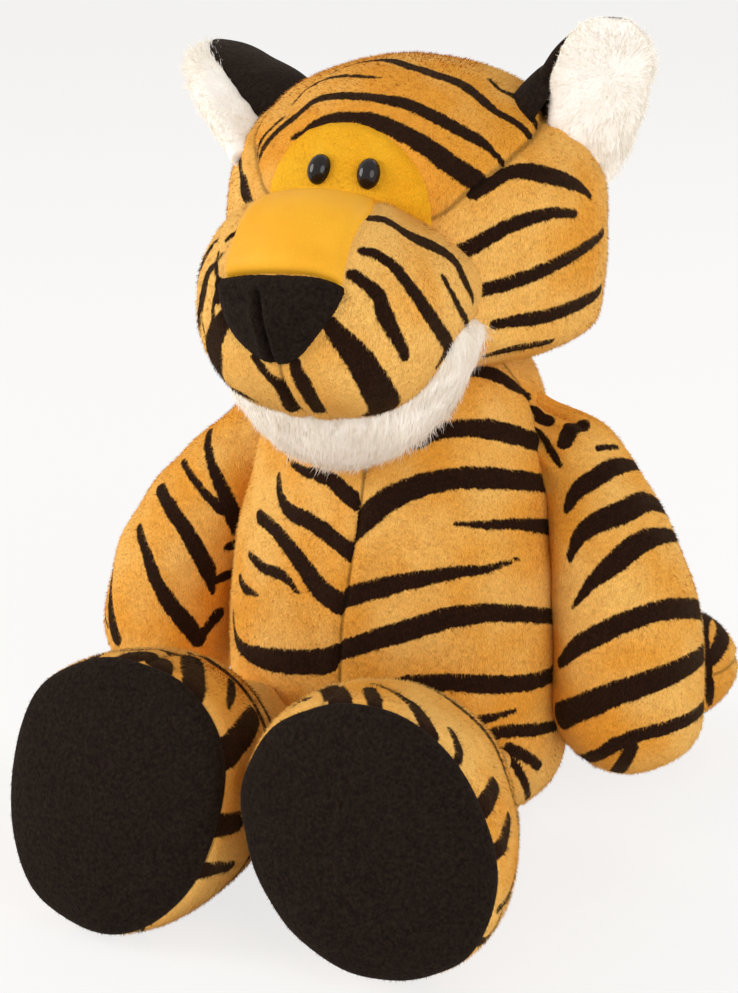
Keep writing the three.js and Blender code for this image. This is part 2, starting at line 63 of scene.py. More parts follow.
# The tiger's own frame: x = 0 is its middle seam, y = 0 the torso's axis and z = 0 the ground.
# Everything below is drawn in it, in millimetres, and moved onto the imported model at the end.
seamToEdge = 0.15
sideSeamBack = 8
ownOrigin = Vector((
    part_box("body_front_left")[0].x - seamToEdge * mm,
    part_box("body_back_left")[0].y - (sideSeamBack + seamToEdge) * mm,
    0,
))
print("frame loaded, own origin at", [round(v / mm, 2) for v in ownOrigin])


def own(x, y, z):
    # a place in the tiger's own frame
    return ownOrigin + Vector((x, y, z)) * mm


def feed(links, value, socket):
    # sets a socket, or joins it to what makes its value
    if isinstance(value, tuple):
        socket.default_value = (*value, 1)
    elif isinstance(value, (int, float)):
        socket.default_value = value
    else:
        links.new(value, socket)


def mathStep(nodes, links, kind, first, second):
    step = nodes.new("ShaderNodeMath")
    step.operation = kind
    feed(links, first, step.inputs[0])
    feed(links, second, step.inputs[1])
    return step.outputs[0]


def mixShaders(nodes, links, share, first, second, target):
    mix = nodes.new("ShaderNodeMixShader")
    for value, socket in zip((share, first, second), mix.inputs):
        feed(links, value, socket)
    links.new(mix.outputs[0], target)


# Camera, light and floor

view = {
    "target": (0, -30, 145), "towards": (0.4013, -0.8605, 0.314), "distance": 1000, "lens": 88.5,
    "sensor": 36, "clipStart": 0.01,
}
# colours and strengths: the soft light all round, the pale backdrop that is seen, and the floor
daylight = {"colour": (1, 0.99, 0.975), "strength": 0.55}
backdrop = {"colour": (1, 0.995, 0.985), "strength": 0.97, "floorShare": 0.8}
floorLook = {"colour": (0.93, 0.92, 0.905, 1), "roughness": 0.9, "size": 60, "height": -0.0006}


def addCamera():
    bpy.ops.object.camera_add()
    camera = bpy.context.object
    camera.name = "camera"
    towards = Vector(view["towards"]).normalized()
    camera.location = own(*view["target"]) + towards * view["distance"] * mm
    camera.rotation_euler = towards.to_track_quat("Z", "Y").to_euler()
    camera.data.sensor_fit = "VERTICAL"
    camera.data.sensor_height = view["sensor"]
    camera.data.lens = view["lens"]
    camera.data.clip_start = view["clipStart"]
    bpy.context.scene.camera = camera


lamps = [
    # name, place in metres, size, watts, colour
    ("key", (-1.45, -0.85, 0.85), 1.1, 22.5, (1.0, 0.985, 0.96)),
    ("fill", (1.4, -0.95, 0.8), 1.3, 15.5, (0.98, 0.985, 1.0)),
    ("rim", (0.5, 1.3, 1.3), 0.9, 6, (1.0, 1.0, 1.0)),
]


def addLamp(name, place, size, watts, colour):
    bpy.ops.object.light_add(type="AREA", location=place)
    lamp = bpy.context.object
    lamp.name = name
    lamp.data.shape = "DISK"
    lamp.data.size = size
    lamp.data.energy = watts
    lamp.data.color = colour
    away = lamp.location - own(*view["target"])
    lamp.rotation_euler = away.to_track_quat("Z", "Y").to_euler()


def seenRays(nodes, links, share):
    # the camera, and what gloss or glass shows, sees the pale background
    path = nodes.new("ShaderNodeLightPath").outputs
    total = path["Is Camera Ray"]
    for ray in ("Is Glossy Ray", "Is Transmission Ray"):
        total = mathStep(nodes, links, "ADD", total, path[ray])
        total.node.use_clamp = True
    return mathStep(nodes, links, "MULTIPLY", total, share)


def glow(nodes, links, kind, look):
    # an even light of one colour
    node = nodes.new(kind)
    feed(links, look["colour"], node.inputs["Color"])
    feed(links, look["strength"], node.inputs["Strength"])
    return node.outputs[0]


def addWorld():
    world = bpy.data.worlds.new("studio")
    bpy.context.scene.world = world
    world.use_nodes = True
    nodes, links = world.node_tree.nodes, world.node_tree.links
    nodes.clear()
    soft = glow(nodes, links, "ShaderNodeBackground", daylight)
    plain = glow(nodes, links, "ShaderNodeBackground", backdrop)
    out = nodes.new("ShaderNodeOutputWorld")
    mixShaders(nodes, links, seenRays(nodes, links, 1), soft, plain, out.inputs["Surface"])


def addFloor():
    bpy.ops.mesh.primitive_plane_add(size=floorLook["size"], location=(0, 0, floorLook["height"]))
    floor = bpy.context.object
    floor.name = "floor"
    material = bpy.data.materials.new("floor")
    material.use_nodes = True
    nodes, links = material.node_tree.nodes, material.node_tree.links
    shader = nodes["Principled BSDF"]
    shader.inputs["Base Color"].default_value = floorLook["colour"]
    shader.inputs["Roughness"].default_value = floorLook["roughness"]
    pale = glow(nodes, links, "ShaderNodeEmission", backdrop)
    seen = seenRays(nodes, links, backdrop["floorShare"])
    mixShaders(nodes, links, seen, shader.outputs[0], pale, nodes["Material Output"].inputs["Surface"])
    floor.data.materials.append(material)


bpy.context.scene.view_settings.view_transform = "Standard"
addCamera()
for lamp in lamps:
    addLamp(*lamp)
addWorld()
addFloor()
print("camera, lamps and floor set")

# Stuffed forms: a ball whose rings are laid along a bent spine, then sewn and creased

spineSteps = 401
veryFar = 1e9
pileFoot = 1.5  # the pile starts this far above the ground


def unit(vectors):
    return vectors / np.linalg.norm(vectors, axis=1)[:, None]


def curveThrough(points, shares):
    # a smooth curve through the points, at shares of its way
    points = np.array(points, float)
    last = len(points) - 1
    ends = np.vstack([2 * points[0] - points[1], points, 2 * points[-1] - points[-2]])
    places = np.clip(np.atleast_1d(shares).astype(float), 0, 1) * last
    starts = np.minimum(places.astype(int), last - 1)
    t = (places - starts)[:, None]
    a, b, c, d = (ends[starts + k] for k in range(4))
    bend = (2 * a - 5 * b + 4 * c - d) * t**2 + (3 * b - a - 3 * c + d) * t**3
    return 0.5 * (2 * b + (c - a) * t + bend)


def layOut(form):
    # the spine's places, and the directions right, up and along at each
    dense = curveThrough(form["spine"], np.linspace(0, 1, spineSteps))
    walked = np.concatenate([[0], np.cumsum(np.linalg.norm(np.diff(dense, axis=0), axis=1))])
    along = unit(np.gradient(dense, walked, axis=0))
    across = np.array(form["across"], float)
    right = unit(across - along * (along @ across)[:, None])
    halves = np.stack([form[side] / 2 * np.array(form[side + "Shares"]) for side in ("width", "depth")], axis=1)
    form["centre"], form["walked"], form["along"], form["right"] = dense, walked, along, right
    form["up"] = np.cross(along, right)
    form["halves"] = curveThrough(halves, walked / walked[-1])


def meridian(form):
    # how far along the spine each ring lies, and how far it is drawn in at the two ends
    length, start, end = form["walked"][-1], form["startRound"], form["endRound"]
    flat = form.get("startFlat", 0)
    turns = np.linspace(0, math.pi / 2, 60)
    middle = np.linspace(start, length - end, 120)[1:-1]
    at = np.concatenate([[0], start * (1 - np.cos(turns)), middle, length - end * (1 - np.sin(turns))])
    drawn = np.concatenate([[0], flat + (1 - flat) * np.sin(turns), np.ones(len(middle)), np.cos(turns)])
    halves = np.stack([np.interp(at, form["walked"], form["halves"][:, k]) for k in range(2)], axis=1)
    radius = drawn * halves.mean(axis=1)
    return at, drawn, np.concatenate([[0], np.cumsum(np.hypot(np.diff(at), np.diff(radius)))])


def alongForm(form, name, at):
    table = form[name]
    return np.stack([np.interp(at, form["walked"], table[:, k]) for k in range(table.shape[1])], axis=1)


def formPoints(form, turn, reach, grow=0.0):
    # points on a form, from their turn round its spine and their share of the way along its skin
    at, drawn, walk = meridian(form)
    places = np.interp(reach * walk[-1], walk, at)
    draw = np.interp(reach * walk[-1], walk, drawn)[:, None]
    halves = alongForm(form, "halves", places) + grow
    side = alongForm(form, "right", places) * (halves[:, :1] * np.cos(turn)[:, None])
    rise = alongForm(form, "up", places) * (halves[:, 1:] * np.sin(turn)[:, None])
    points = alongForm(form, "centre", places) + (side + rise) * draw
    if grow:
        points += alongForm(form, "along", places) * (grow * (2 * reach - 1) * (1 - draw[:, 0]))[:, None]
    return points, places


def deselectAll():
    if bpy.context.object and bpy.context.object.mode != "OBJECT":
        bpy.ops.object.mode_set(mode="OBJECT")
    bpy.ops.object.select_all(action="DESELECT")


def readTriples(items, name):
    values = np.empty(len(items) * 3)
    items.foreach_get(name, values)
    return values.reshape(-1, 3)


def readPoints(piece):
    return (readTriples(piece.data.vertices, "co") - np.array(ownOrigin)) / mm


def readNormals(piece):
    return readTriples(piece.data.vertex_normals, "vector")


def writePoints(piece, points):
    piece.data.vertices.foreach_set("co", (points * mm + np.array(ownOrigin)).ravel())
    piece.data.update()


def pushOut(piece, lift):
    writePoints(piece, readPoints(piece) + readNormals(piece) * np.asarray(lift)[:, None])


def setField(piece, name, values):
    field = piece.data.attributes.new(name, "FLOAT", "POINT")
    field.data.foreach_set("value", np.asarray(values, np.float32))


def readField(piece, name):
    values = np.empty(len(piece.data.vertices), np.float32)
    piece.data.attributes[name].data.foreach_get("value", values)
    return values


def applyModifier(piece, kind, **settings):
    modifier = piece.modifiers.new(kind.lower(), kind)
    for name, value in settings.items():
        setattr(modifier, name, value)
    bpy.ops.object.modifier_apply(modifier=modifier.name)


def addSphere(name, segments, rings, radius):
    # Blender lists a ball's faces in another order on each run, and hair is drawn by that order,
    # so its faces are sorted here, and each starts at its first corner
    deselectAll()
    bpy.ops.mesh.primitive_uv_sphere_add(segments=segments, ring_count=rings, radius=radius)
    piece = bpy.context.object
    piece.name = name
    mesh = piece.data
    spots = [tuple(spot.uv) for spot in mesh.uv_layers.active.data]
    faces = []
    for face in mesh.polygons:
        corners = list(zip(face.vertices, spots[face.loop_start:face.loop_start + face.loop_total]))
        first = corners.index(min(corners))
        faces.append(corners[first:] + corners[:first])
    faces.sort()
    points = [tuple(point.co) for point in mesh.vertices]
    mesh.clear_geometry()
    mesh.from_pydata(points, [], [[corner for corner, spot in face] for face in faces])
    layer = mesh.uv_layers.new(name="UVMap")
    layer.data.foreach_set("uv", [part for face in faces for corner, spot in face for part in spot])
    return piece


def addBall(name, form, grow=0.0):
    layOut(form)
    piece = addSphere(name, form["segments"], form["rings"], 1)
    applyModifier(piece, "SUBSURF", subdivision_type="SIMPLE", levels=2, render_levels=2)
    ball = unit(readTriples(piece.data.vertices, "co"))
    turn = np.arctan2(ball[:, 1], ball[:, 0])
    reach = 1 - np.arccos(np.clip(ball[:, 2], -1, 1)) / math.pi
    points, places = formPoints(form, turn, reach, grow)
    writePoints(piece, points)
    bpy.ops.object.shade_smooth()
    return piece, turn, places


def settleOnGround(piece, soft=2.0):
    # the cloth flattens where it rests, with a soft edge to the flat
    points = readPoints(piece)
    height = points[:, 2]
    points[:, 2] = np.where(height > soft, height, soft * np.exp((height - soft) / soft))
    points[:, 2] = np.where(height < -soft * 4, 0, points[:, 2])
    writePoints(piece, points)


def softNoise(points, size, seed, height=1.0, waves=22):
    # smooth bumps about this size and height in mm, a sum of waves that run all ways
    random = np.random.default_rng(seed)
    total = np.zeros(len(points))
    for wave in range(waves):
        direction = random.normal(size=3)
        direction *= 2 * math.pi / (size * random.uniform(0.6, 1.7) * np.linalg.norm(direction))
        total += np.sin(points @ direction + random.uniform(0, 2 * math.pi))
    return total / math.sqrt(waves) * 0.7 * height


def smoothStep(values, low, high):
    t = np.clip((values - low) / (high - low), 0, 1)
    return t * t * (3 - 2 * t)


def seamDip(distance, depth=0.9, width=1.5, puff=0.5):
    # the cloth dips at a seam and puffs up beside it
    distance = np.abs(distance)
    return puff * np.exp(-(((distance - 5) / 4) ** 2)) - depth * np.exp(-((distance / width) ** 2))


def gathered(form, turn, places):
    # folds that run out from a gathered root
    total = np.zeros(len(turn))
    for height, count, phase, twist in form["gathers"]:
        total += height * np.sin(turn * count + phase + places * twist)
    return total * (1 - smoothStep(places, *form["gatherReach"]))


# stripes are laid on this much wider than traced, by a share and in mm, because the pile frays them
stripeShare, stripeMore = 1.1, 0.25


def nearLines(points, lines, normals, step=0.8, cell=18, far=9):
    # how far each point lies outside the nearest stripe, in mm, less than zero inside it
    surface = KDTree(len(points))
    for index, point in enumerate(points):
        surface.insert(point, index)
    surface.balance()
    spots = []
    for line in lines:
        line = np.array(line, float)
        length = np.linalg.norm(np.diff(line[:, :3], axis=0), axis=1).sum()
        spots.append(curveThrough(line, np.linspace(0, 1, max(4, int(length / step)))))
    spots = np.vstack(spots)
    near = np.array([surface.find(spot[:3])[1] for spot in spots])
    spots[:, :3] += normals[near] * ((points[near] - spots[:, :3]) * normals[near]).sum(1)[:, None]
    spots[:, 3] = spots[:, 3] * stripeShare + stripeMore
    found = np.full(len(points), float(far))
    keys, member = np.unique(np.floor(points / cell).astype(int), axis=0, return_inverse=True)
    order = np.argsort(member.ravel(), kind="stable")
    ends = np.searchsorted(member.ravel()[order], np.arange(len(keys) + 1))
    for key, first, last in zip(keys, ends[:-1], ends[1:]):
        part = order[first:last]
        middle = (key + 0.5) * cell
        near = spots[np.linalg.norm(spots[:, :3] - middle, axis=1) < cell * 0.87 + far + 5]
        if len(near):
            away = np.linalg.norm(points[part][:, None] - near[None, :, :3], axis=2) - near[None, :, 3]
            found[part] = np.minimum(found[part], away.min(axis=1))
    return found


def lineDistance(points, line):
    # how far each place is from a line of straight lengths
    line = np.array(line, float)
    found = np.full(len(points), veryFar)
    for a, b in zip(line[:-1], line[1:]):
        edge = b - a
        share = np.clip(((points - a) @ edge) / (edge @ edge), 0, 1)
        found = np.minimum(found, np.linalg.norm(points - a - share[:, None] * edge, axis=1))
    return found


def outlineDistance(points, outline):
    # how far each place lies outside a closed outline, less than zero inside it
    outline = np.array(outline, float)
    inside = np.zeros(len(points), bool)
    for a, b in zip(outline, np.roll(outline, -1, axis=0)):
        crosses = (a[1] > points[:, 1]) != (b[1] > points[:, 1])
        with np.errstate(divide="ignore", invalid="ignore"):
            reached = (b[0] - a[0]) * (points[:, 1] - a[1]) / (b[1] - a[1]) + a[0]
        inside ^= crosses & (points[:, 0] < reached)
    found = lineDistance(points, np.vstack([outline, outline[:1]]))
    return np.where(inside, -found, found)


seamReach = 8  # a stripe that ends this near a seam runs on over it


def panelStripes(points, normals, beyond, lines):
    # each panel carries its own stripes, which are cut off at the seam to the next panel
    sides = ([], [])
    for line in lines:
        line = np.array(line, float)
        away = beyond(line[:, :3])
        for end, before in ((0, 1), (-1, -2)):
            if abs(away[end]) < seamReach:
                onward = line[end, :3] - line[before, :3]
                onward *= (seamReach + 1) / max(np.linalg.norm(onward), 0.1)
                spot = np.append(line[end, :3] + onward, line[end, 3])
                line = np.vstack([line, spot]) if end else np.vstack([spot, line])
        sides[int(np.mean(away) > 0)].append(line)
    near, far = (nearLines(points, lines, normals) for lines in sides)
    return np.where(beyond(points) > 0, far, near)


def markCloth(piece, stripe, brushed, first, second=99.0):
    # what the striped material reads: how far each point is from the stripes, how much paler or deeper
    # its panel is, partly for its nap and partly as painted light and shade, and how far it is from the two seams
    # that are darkened with painted shade
    for name, values in (("stripe", stripe), ("brushed", brushed), ("seamA", first), ("seamB", second)):
        setField(piece, name, np.zeros(len(piece.data.vertices)) + values)


def nearestPlace(form, points):
    # the nearest step of the spine to each point
    return np.array([np.argmin(np.linalg.norm(form["centre"] - p, axis=1)) for p in points])


def spineStep(form, places):
    # the step of the spine at each place along it
    return np.searchsorted(form["walked"], places).clip(0, spineSteps - 1)


def rightOf(form, points, at):
    # how far each point lies to the right of the spine
    return ((points - form["centre"][at]) * form["right"][at]).sum(1)


def hiddenRuns(form, line, finest=0.35):
    # the stretches of a stripe on the side away from the photograph, thinning out at its edge
    length = np.linalg.norm(np.diff(line[:, :3], axis=0), axis=1).sum()
    dense = curveThrough(line, np.linspace(0, 1, max(6, int(length / 3))))
    offset = dense[:, :3] - form["centre"][nearestPlace(form, dense[:, :3])]
    outward = offset / np.maximum(np.linalg.norm(offset, axis=1), 1)[:, None]
    lens = Vector(view["target"]) + Vector(view["towards"]).normalized() * view["distance"]
    towards = unit(np.array(lens) - dense[:, :3])
    dense[:, 3] *= smoothStep(-(outward * towards).sum(1), 0.08, 0.32)
    runs = np.split(dense, np.flatnonzero(np.diff(dense[:, 3] > finest)) + 1)
    return [run for run in runs if run[0, 3] > finest and len(run) > 3]


def turnedLines(form, lines, flipRight=False, flipUp=False, shift=0.0):
    # the stripes of the side that is seen, laid over the side that is not
    turned = []
    for line in lines:
        line = np.array(line, float)
        at = nearestPlace(form, line[:, :3])
        offset = line[:, :3] - form["centre"][at]
        right, up = form["right"][at], form["up"][at]
        side, rise = (offset * right).sum(1), (offset * up).sum(1)
        rest = offset - right * side[:, None] - up * rise[:, None]
        side = -side if flipRight else side
        rise = -rise if flipUp else rise
        spot = form["centre"][at] + rest + right * side[:, None] + up * rise[:, None]
        spot += form["along"][at] * shift
        turned += hiddenRuns(form, np.column_stack([spot, line[:, 3]]))
    return turned


def hangingStripes(form, rows, middle, spread, half, seed, seenToo=False):
    # stripes that hang from a middle seam to both sides, with thin ones reaching in between them
    random = np.random.default_rng(seed)
    lines = []
    for row, share in enumerate(rows):
        for side in (-1, 1):
            reach = share + random.uniform(-0.014, 0.014)
            long = (row + (side > 0)) % 3 != 0
            ends = (0.0, random.uniform(0.8, 1.05)) if long else (random.uniform(0.35, 0.5), 1.1)
            walk = np.linspace(0, 1, 14)
            turn = np.radians(middle + side * spread * (ends[0] + (ends[1] - ends[0]) * walk))
            bow = random.uniform(0.0, 0.03) * np.sin(walk * math.pi) + random.uniform(0.01, 0.04) * walk
            spots = formPoints(form, turn, np.clip(reach + bow, 0.02, 0.98))[0]
            thin = 0.12 + 0.88 * (1 - walk**2.2) if long else 0.1 + 0.75 * np.sin(walk * 2.2)
            line = np.column_stack([spots, half * random.uniform(0.8, 1.2) * thin])
            lines += [line] if seenToo else hiddenRuns(form, line)
    return lines


def panelFrom(source, name, distance, lift=0.5, edge=1.4, sink=1.2):
    # a panel of another cloth, cut from the form it is sewn into, with its edge drawn in
    mesh = source.data.copy()
    piece = bpy.data.objects.new(name, mesh)
    bpy.context.collection.objects.link(piece)
    setField(piece, "border", distance)
    bulk = bmesh.new()
    bulk.from_mesh(mesh)
    border = bulk.verts.layers.float["border"]
    spare = [v for v in bulk.verts if v[border] > edge]
    bmesh.ops.delete(bulk, geom=spare, context="VERTS")
    bulk.to_mesh(mesh)
    bulk.free()
    kept = readField(piece, "border")
    pushOut(piece, lift * (1 - smoothStep(kept, -2.2, 0)) - 1.1 * smoothStep(kept, -0.4, edge))
    pushOut(source, -sink * (1 - smoothStep(distance, -2.2, -0.3)))
    return piece, kept

# Cloths: every finish is grown from noise on the piece's own coordinates

plush = {
    "pale": (0.98, 0.55, 0.138), "deep": (0.88, 0.37, 0.04), "stripe": (0.0165, 0.0052, 0.0018),
    "stripeWorn": (0.034, 0.0125, 0.0048), "napSize": 24, "fibreSize": 2300, "fibreStretch": 0.3,
    "raggedSize": 1100, "ragged": 1.7, "edge": 0.5, "roughness": 0.9, "sheen": 0.06, "bump": 0.75, "shade": 0.74,
    "gloss": 0.1, "seamShade": 0.5,
}
goldPlush = dict(plush, pale=(0.93, 0.49, 0.024), deep=(0.86, 0.38, 0.010), sheen=0.05, shade=0.8)
darkVelour = {
    "pale": (0.021, 0.0125, 0.0084), "deep": (0.0105, 0.006, 0.004), "napSize": 620, "fibreSize": 900,
    "fibreStretch": 0.8, "roughness": 0.92, "sheen": 0.05, "bump": 0.9, "gloss": 0.08, "shade": 0.55,
}
satin = {
    "pale": (0.85, 0.415, 0.022), "deep": (0.80, 0.36, 0.016), "napSize": 34, "fibreSize": 2600,
    "fibreStretch": 0.25, "shade": 0.92, "roughness": 0.55, "sheen": 0.06, "bump": 0.10, "gloss": 0.15,
}
furWhite = {
    "pale": (0.98, 0.945, 0.89), "deep": (0.94, 0.895, 0.82), "napSize": 45, "fibreSize": 700,
    "fibreStretch": 0.3, "shade": 0.96, "roughness": 0.9, "sheen": 0.1, "bump": 0.3, "gloss": 0.1,
}
washerPlastic = {
    "pale": (0.82, 0.82, 0.80), "deep": (0.76, 0.76, 0.74), "napSize": 90, "fibreSize": 900, "fibreStretch": 1,
    "shade": 0.94, "roughness": 0.45, "sheen": 0.0, "bump": 0.05, "gloss": 0.5,
}
darkSheen = (0.45, 0.3, 0.2)


def clothMaterial(name, look, stripes=False, pile=False, seeThrough=0.0):
    material = bpy.data.materials.new(name)
    material.use_nodes = True
    nodes, links = material.node_tree.nodes, material.node_tree.links
    shader = nodes["Principled BSDF"]
    shader.inputs["Roughness"].default_value = look["roughness"]
    shader.inputs["Sheen Weight"].default_value = look["sheen"]
    shader.inputs["Sheen Roughness"].default_value = 0.45
    tint = look["pale"] if look["pale"][0] > 0.1 else darkSheen
    shader.inputs["Sheen Tint"].default_value = (*tint, 1)
    shader.inputs["Specular IOR Level"].default_value = look["gloss"]
    place = nodes.new("ShaderNodeTexCoord").outputs["Object"]

    def noise(size, detail, stretch=1.0, rough=0.5):
        mapping = nodes.new("ShaderNodeMapping")
        mapping.inputs["Scale"].default_value = (size, size, size * stretch)
        links.new(place, mapping.inputs["Vector"])
        texture = nodes.new("ShaderNodeTexNoise")
        texture.inputs["Scale"].default_value = 1
        texture.inputs["Detail"].default_value = detail
        texture.inputs["Roughness"].default_value = rough
        links.new(mapping.outputs["Vector"], texture.inputs["Vector"])
        return texture.outputs["Fac"]

    def spread(value, low, high, outLow=0.0, outHigh=1.0):
        ramp = nodes.new("ShaderNodeMapRange")
        ramp.interpolation_type = "SMOOTHSTEP"
        for key, number in (("From Min", low), ("From Max", high), ("To Min", outLow), ("To Max", outHigh)):
            ramp.inputs[key].default_value = number
        links.new(value, ramp.inputs["Value"])
        return ramp.outputs["Result"]

    def mixed(factor, first, second, kind="MIX"):
        mix = nodes.new("ShaderNodeMix")
        mix.data_type = "RGBA"
        mix.blend_type = kind
        for value, place in ((factor, 0), (first, 6), (second, 7)):
            feed(links, value, mix.inputs[place])
        return mix.outputs[2]

    def joined(first, second, kind="ADD"):
        return mathStep(nodes, links, kind, first, second)

    def field(name):
        attribute = nodes.new("ShaderNodeAttribute")
        attribute.attribute_name = name
        return attribute.outputs["Fac"]

    nap = spread(noise(look["napSize"], 3), 0.32, 0.68)
    if stripes:
        # each panel's shift towards pale or deep is partly its nap and partly painted light and shade
        nap = joined(nap, field("brushed"))
        nap.node.use_clamp = True
    fibre = noise(look["fibreSize"], 2, look["fibreStretch"], 0.65)
    ground = mixed(nap, look["deep"], look["pale"])
    shade = spread(fibre, 0.3, 0.7, look["shade"], 1.0)
    if stripes:
        worn = mixed(spread(fibre, 0.45, 0.75), look["stripe"], look["stripeWorn"])
        fine = joined(noise(look["raggedSize"], 2, 0.45), 0.5, "SUBTRACT")
        fine = joined(fine, look["ragged"], "MULTIPLY")
        broad = joined(noise(look["raggedSize"] / 4, 1), 0.5, "SUBTRACT")
        broad = joined(broad, look["ragged"] * 0.8, "MULTIPLY")
        wander = joined(fine, broad)
        inside = spread(joined(field("stripe"), wander), -look["edge"], look["edge"], 1.0, 0.0)
        ground = mixed(inside, ground, worn)
        # painted shade: each seam is darkened in a thin line, where its crease would lie in shade
        for seam in ("seamA", "seamB"):
            close = spread(joined(field(seam), 0, "ABSOLUTE"), 0.1, 1.3, look["seamShade"], 1.0)
            shade = joined(shade, close, "MULTIPLY")
    if pile:
        shade = joined(shade, field("tone"), "MULTIPLY")
    grey = nodes.new("ShaderNodeCombineColor")
    for channel in range(3):
        links.new(shade, grey.inputs[channel])
    colour = mixed(1.0, ground, grey.outputs[0], "MULTIPLY")
    links.new(colour, shader.inputs["Base Color"])
    if seeThrough:
        # light passes through thin hair, so both its sides are bright
        through = nodes.new("ShaderNodeBsdfTranslucent")
        links.new(colour, through.inputs["Color"])
        surface = nodes["Material Output"].inputs["Surface"]
        mixShaders(nodes, links, seeThrough, shader.outputs[0], through.outputs[0], surface)
    bump = nodes.new("ShaderNodeBump")
    bump.inputs["Strength"].default_value = look["bump"]
    bump.inputs["Distance"].default_value = 0.0007
    tuft = joined(fibre, joined(noise(look["fibreSize"] * 0.25, 2), 0.8, "MULTIPLY"))
    links.new(tuft, bump.inputs["Height"])
    links.new(bump.outputs["Normal"], shader.inputs["Normal"])
    return material


cloths = {
    "striped_plush": clothMaterial("stripedPlush", plush, stripes=True),
    "gold_plush": clothMaterial("goldPlush", goldPlush),
    "dark_velour": clothMaterial("darkVelour", darkVelour),
    "satin": clothMaterial("satin", satin),
    "white_fur": clothMaterial("whiteFur", furWhite),
    "washer_plastic": clothMaterial("washerPlastic", washerPlastic),
}
pileCloths = {
    "striped_plush": clothMaterial("stripedPile", plush, stripes=True, pile=True),
    "gold_plush": clothMaterial("goldPile", goldPlush, pile=True),
    "dark_velour": clothMaterial("velourPile", darkVelour, pile=True),
    "white_fur": clothMaterial("whiteHair", furWhite, seeThrough=0.5),
}


def dress(piece, slot, body, *nodes):
    piece.data.materials.clear()
    piece.data.materials.append(cloths[slot])
    if body:
        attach(piece, body)
    if nodes:
        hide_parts(*nodes)


def tuftNoise(points, size, seed):
    # hair leans together in small tufts
    return np.stack([softNoise(points, size, seed + k) for k in range(3)], axis=1)


def combed(normals, way, lift):
    # directions that lie along a surface and stand a little off it
    flat = way - normals * (normals * way).sum(1)[:, None]
    flat /= np.maximum(np.linalg.norm(flat, axis=1), 0.2)[:, None]
    return flat + normals * lift


def dressHair(piece, slot, body):
    dress(piece, slot, body)
    piece.data.materials[0] = pileCloths[slot]


def scatter(piece, count, seed, keep=None, fields=()):
    # places all over the piece, evenly by area, with the surface's normal and fields at each
    random = np.random.default_rng(seed)
    mesh = piece.data
    mesh.calc_loop_triangles()
    corners = np.empty(len(mesh.loop_triangles) * 3, np.int32)
    mesh.loop_triangles.foreach_get("vertices", corners)
    corners = corners.reshape(-1, 3)
    points, normals = readPoints(piece), readNormals(piece)
    if keep is not None:
        corners = corners[keep[corners].all(axis=1)]
    a, b, c = (points[corners[:, k]] for k in range(3))
    area = np.linalg.norm(np.cross(b - a, c - a), axis=1)
    picks = random.choice(len(corners), count, p=area / area.sum())
    u, v = random.random(count), random.random(count)
    u, v = np.where(u + v > 1, 1 - u, u), np.where(u + v > 1, 1 - v, v)
    roots = a[picks] + (b - a)[picks] * u[:, None] + (c - a)[picks] * v[:, None]
    values = {}
    for name in fields:
        table = readField(piece, name)
        one, two, three = (table[corners[picks, k]] for k in range(3))
        values[name] = one + (two - one) * u + (three - one) * v
    return roots, normals[corners[picks, 0]], random, values


def meshPiece(name, points, faces):
    mesh = bpy.data.meshes.new(name)
    mesh.from_pydata((points * mm + np.array(ownOrigin)).tolist(), [], faces)
    piece = bpy.data.objects.new(name, mesh)
    bpy.context.collection.objects.link(piece)
    return piece


pile = {
    # hairs for a square centimetre, how long and wide they are, and how far they stand up
    "striped_plush": {
        "density": 95, "long": 1.9, "wide": 0.26, "lift": 0.6, "fields": ("stripe", "brushed", "seamA", "seamB"),
    },
    "gold_plush": {"density": 70, "long": 1.2, "wide": 0.2, "lift": 0.8, "fields": ()},
    "dark_velour": {"density": 70, "long": 1.1, "wide": 0.2, "lift": 0.9, "fields": ()},
}
# what all pile has in common: the most leaves on one piece, how far they stray and how deep they root
pileShares = {
    "most": 90000, "tufts": (45, 70), "tuftLean": 0.5, "stray": 0.22, "twist": 0.4, "lengths": (0.6, 1.15),
    "rootDepth": 0.15, "tones": (0.9, 1.1), "lowest": 0.1,
}


def addPile(piece, slot, body=None, keep=None):
    # short pile: each hair is one thin leaf that leans the way the cloth is brushed
    look = dict(pile[slot], **pileShares)
    area = sum(face.area for face in piece.data.polygons) * 1e4
    count = min(int(area * look["density"]), look["most"])
    roots, normals, random, values = scatter(piece, count, len(piece.name), keep, look["fields"])
    down = np.array([0, 0, -1.0]) + tuftNoise(roots, *look["tufts"]) * look["tuftLean"]
    aims = unit(combed(normals, down, look["lift"]) + random.normal(size=roots.shape) * look["stray"])
    flat = normals + random.normal(size=roots.shape) * look["twist"]
    sideways = unit(np.cross(aims, flat)) * look["wide"] / 2
    lengths = look["long"] * random.uniform(*look["lengths"], count)
    base = roots - normals * look["rootDepth"]
    # every leaf is wound so that its front faces away from the cloth
    sideways *= np.sign((np.cross(sideways, aims) * normals).sum(1))[:, None]
    points = np.stack([base - sideways, base + sideways, roots + aims * lengths[:, None]], axis=1).reshape(-1, 3)
    points[:, 2] = np.maximum(points[:, 2], look["lowest"])
    hairs = meshPiece(f"{piece.name}_pile", points, np.arange(count * 3).reshape(-1, 3).tolist())
    hairs.data.normals_split_custom_set_from_vertices(np.repeat(normals, 3, axis=0).tolist())
    for name in look["fields"]:
        setField(hairs, name, np.repeat(values[name], 3))
    setField(hairs, "tone", np.repeat(random.uniform(*look["tones"], count), 3))
    dressHair(hairs, slot, body)
    return hairs


print("cloths made")

# Torso

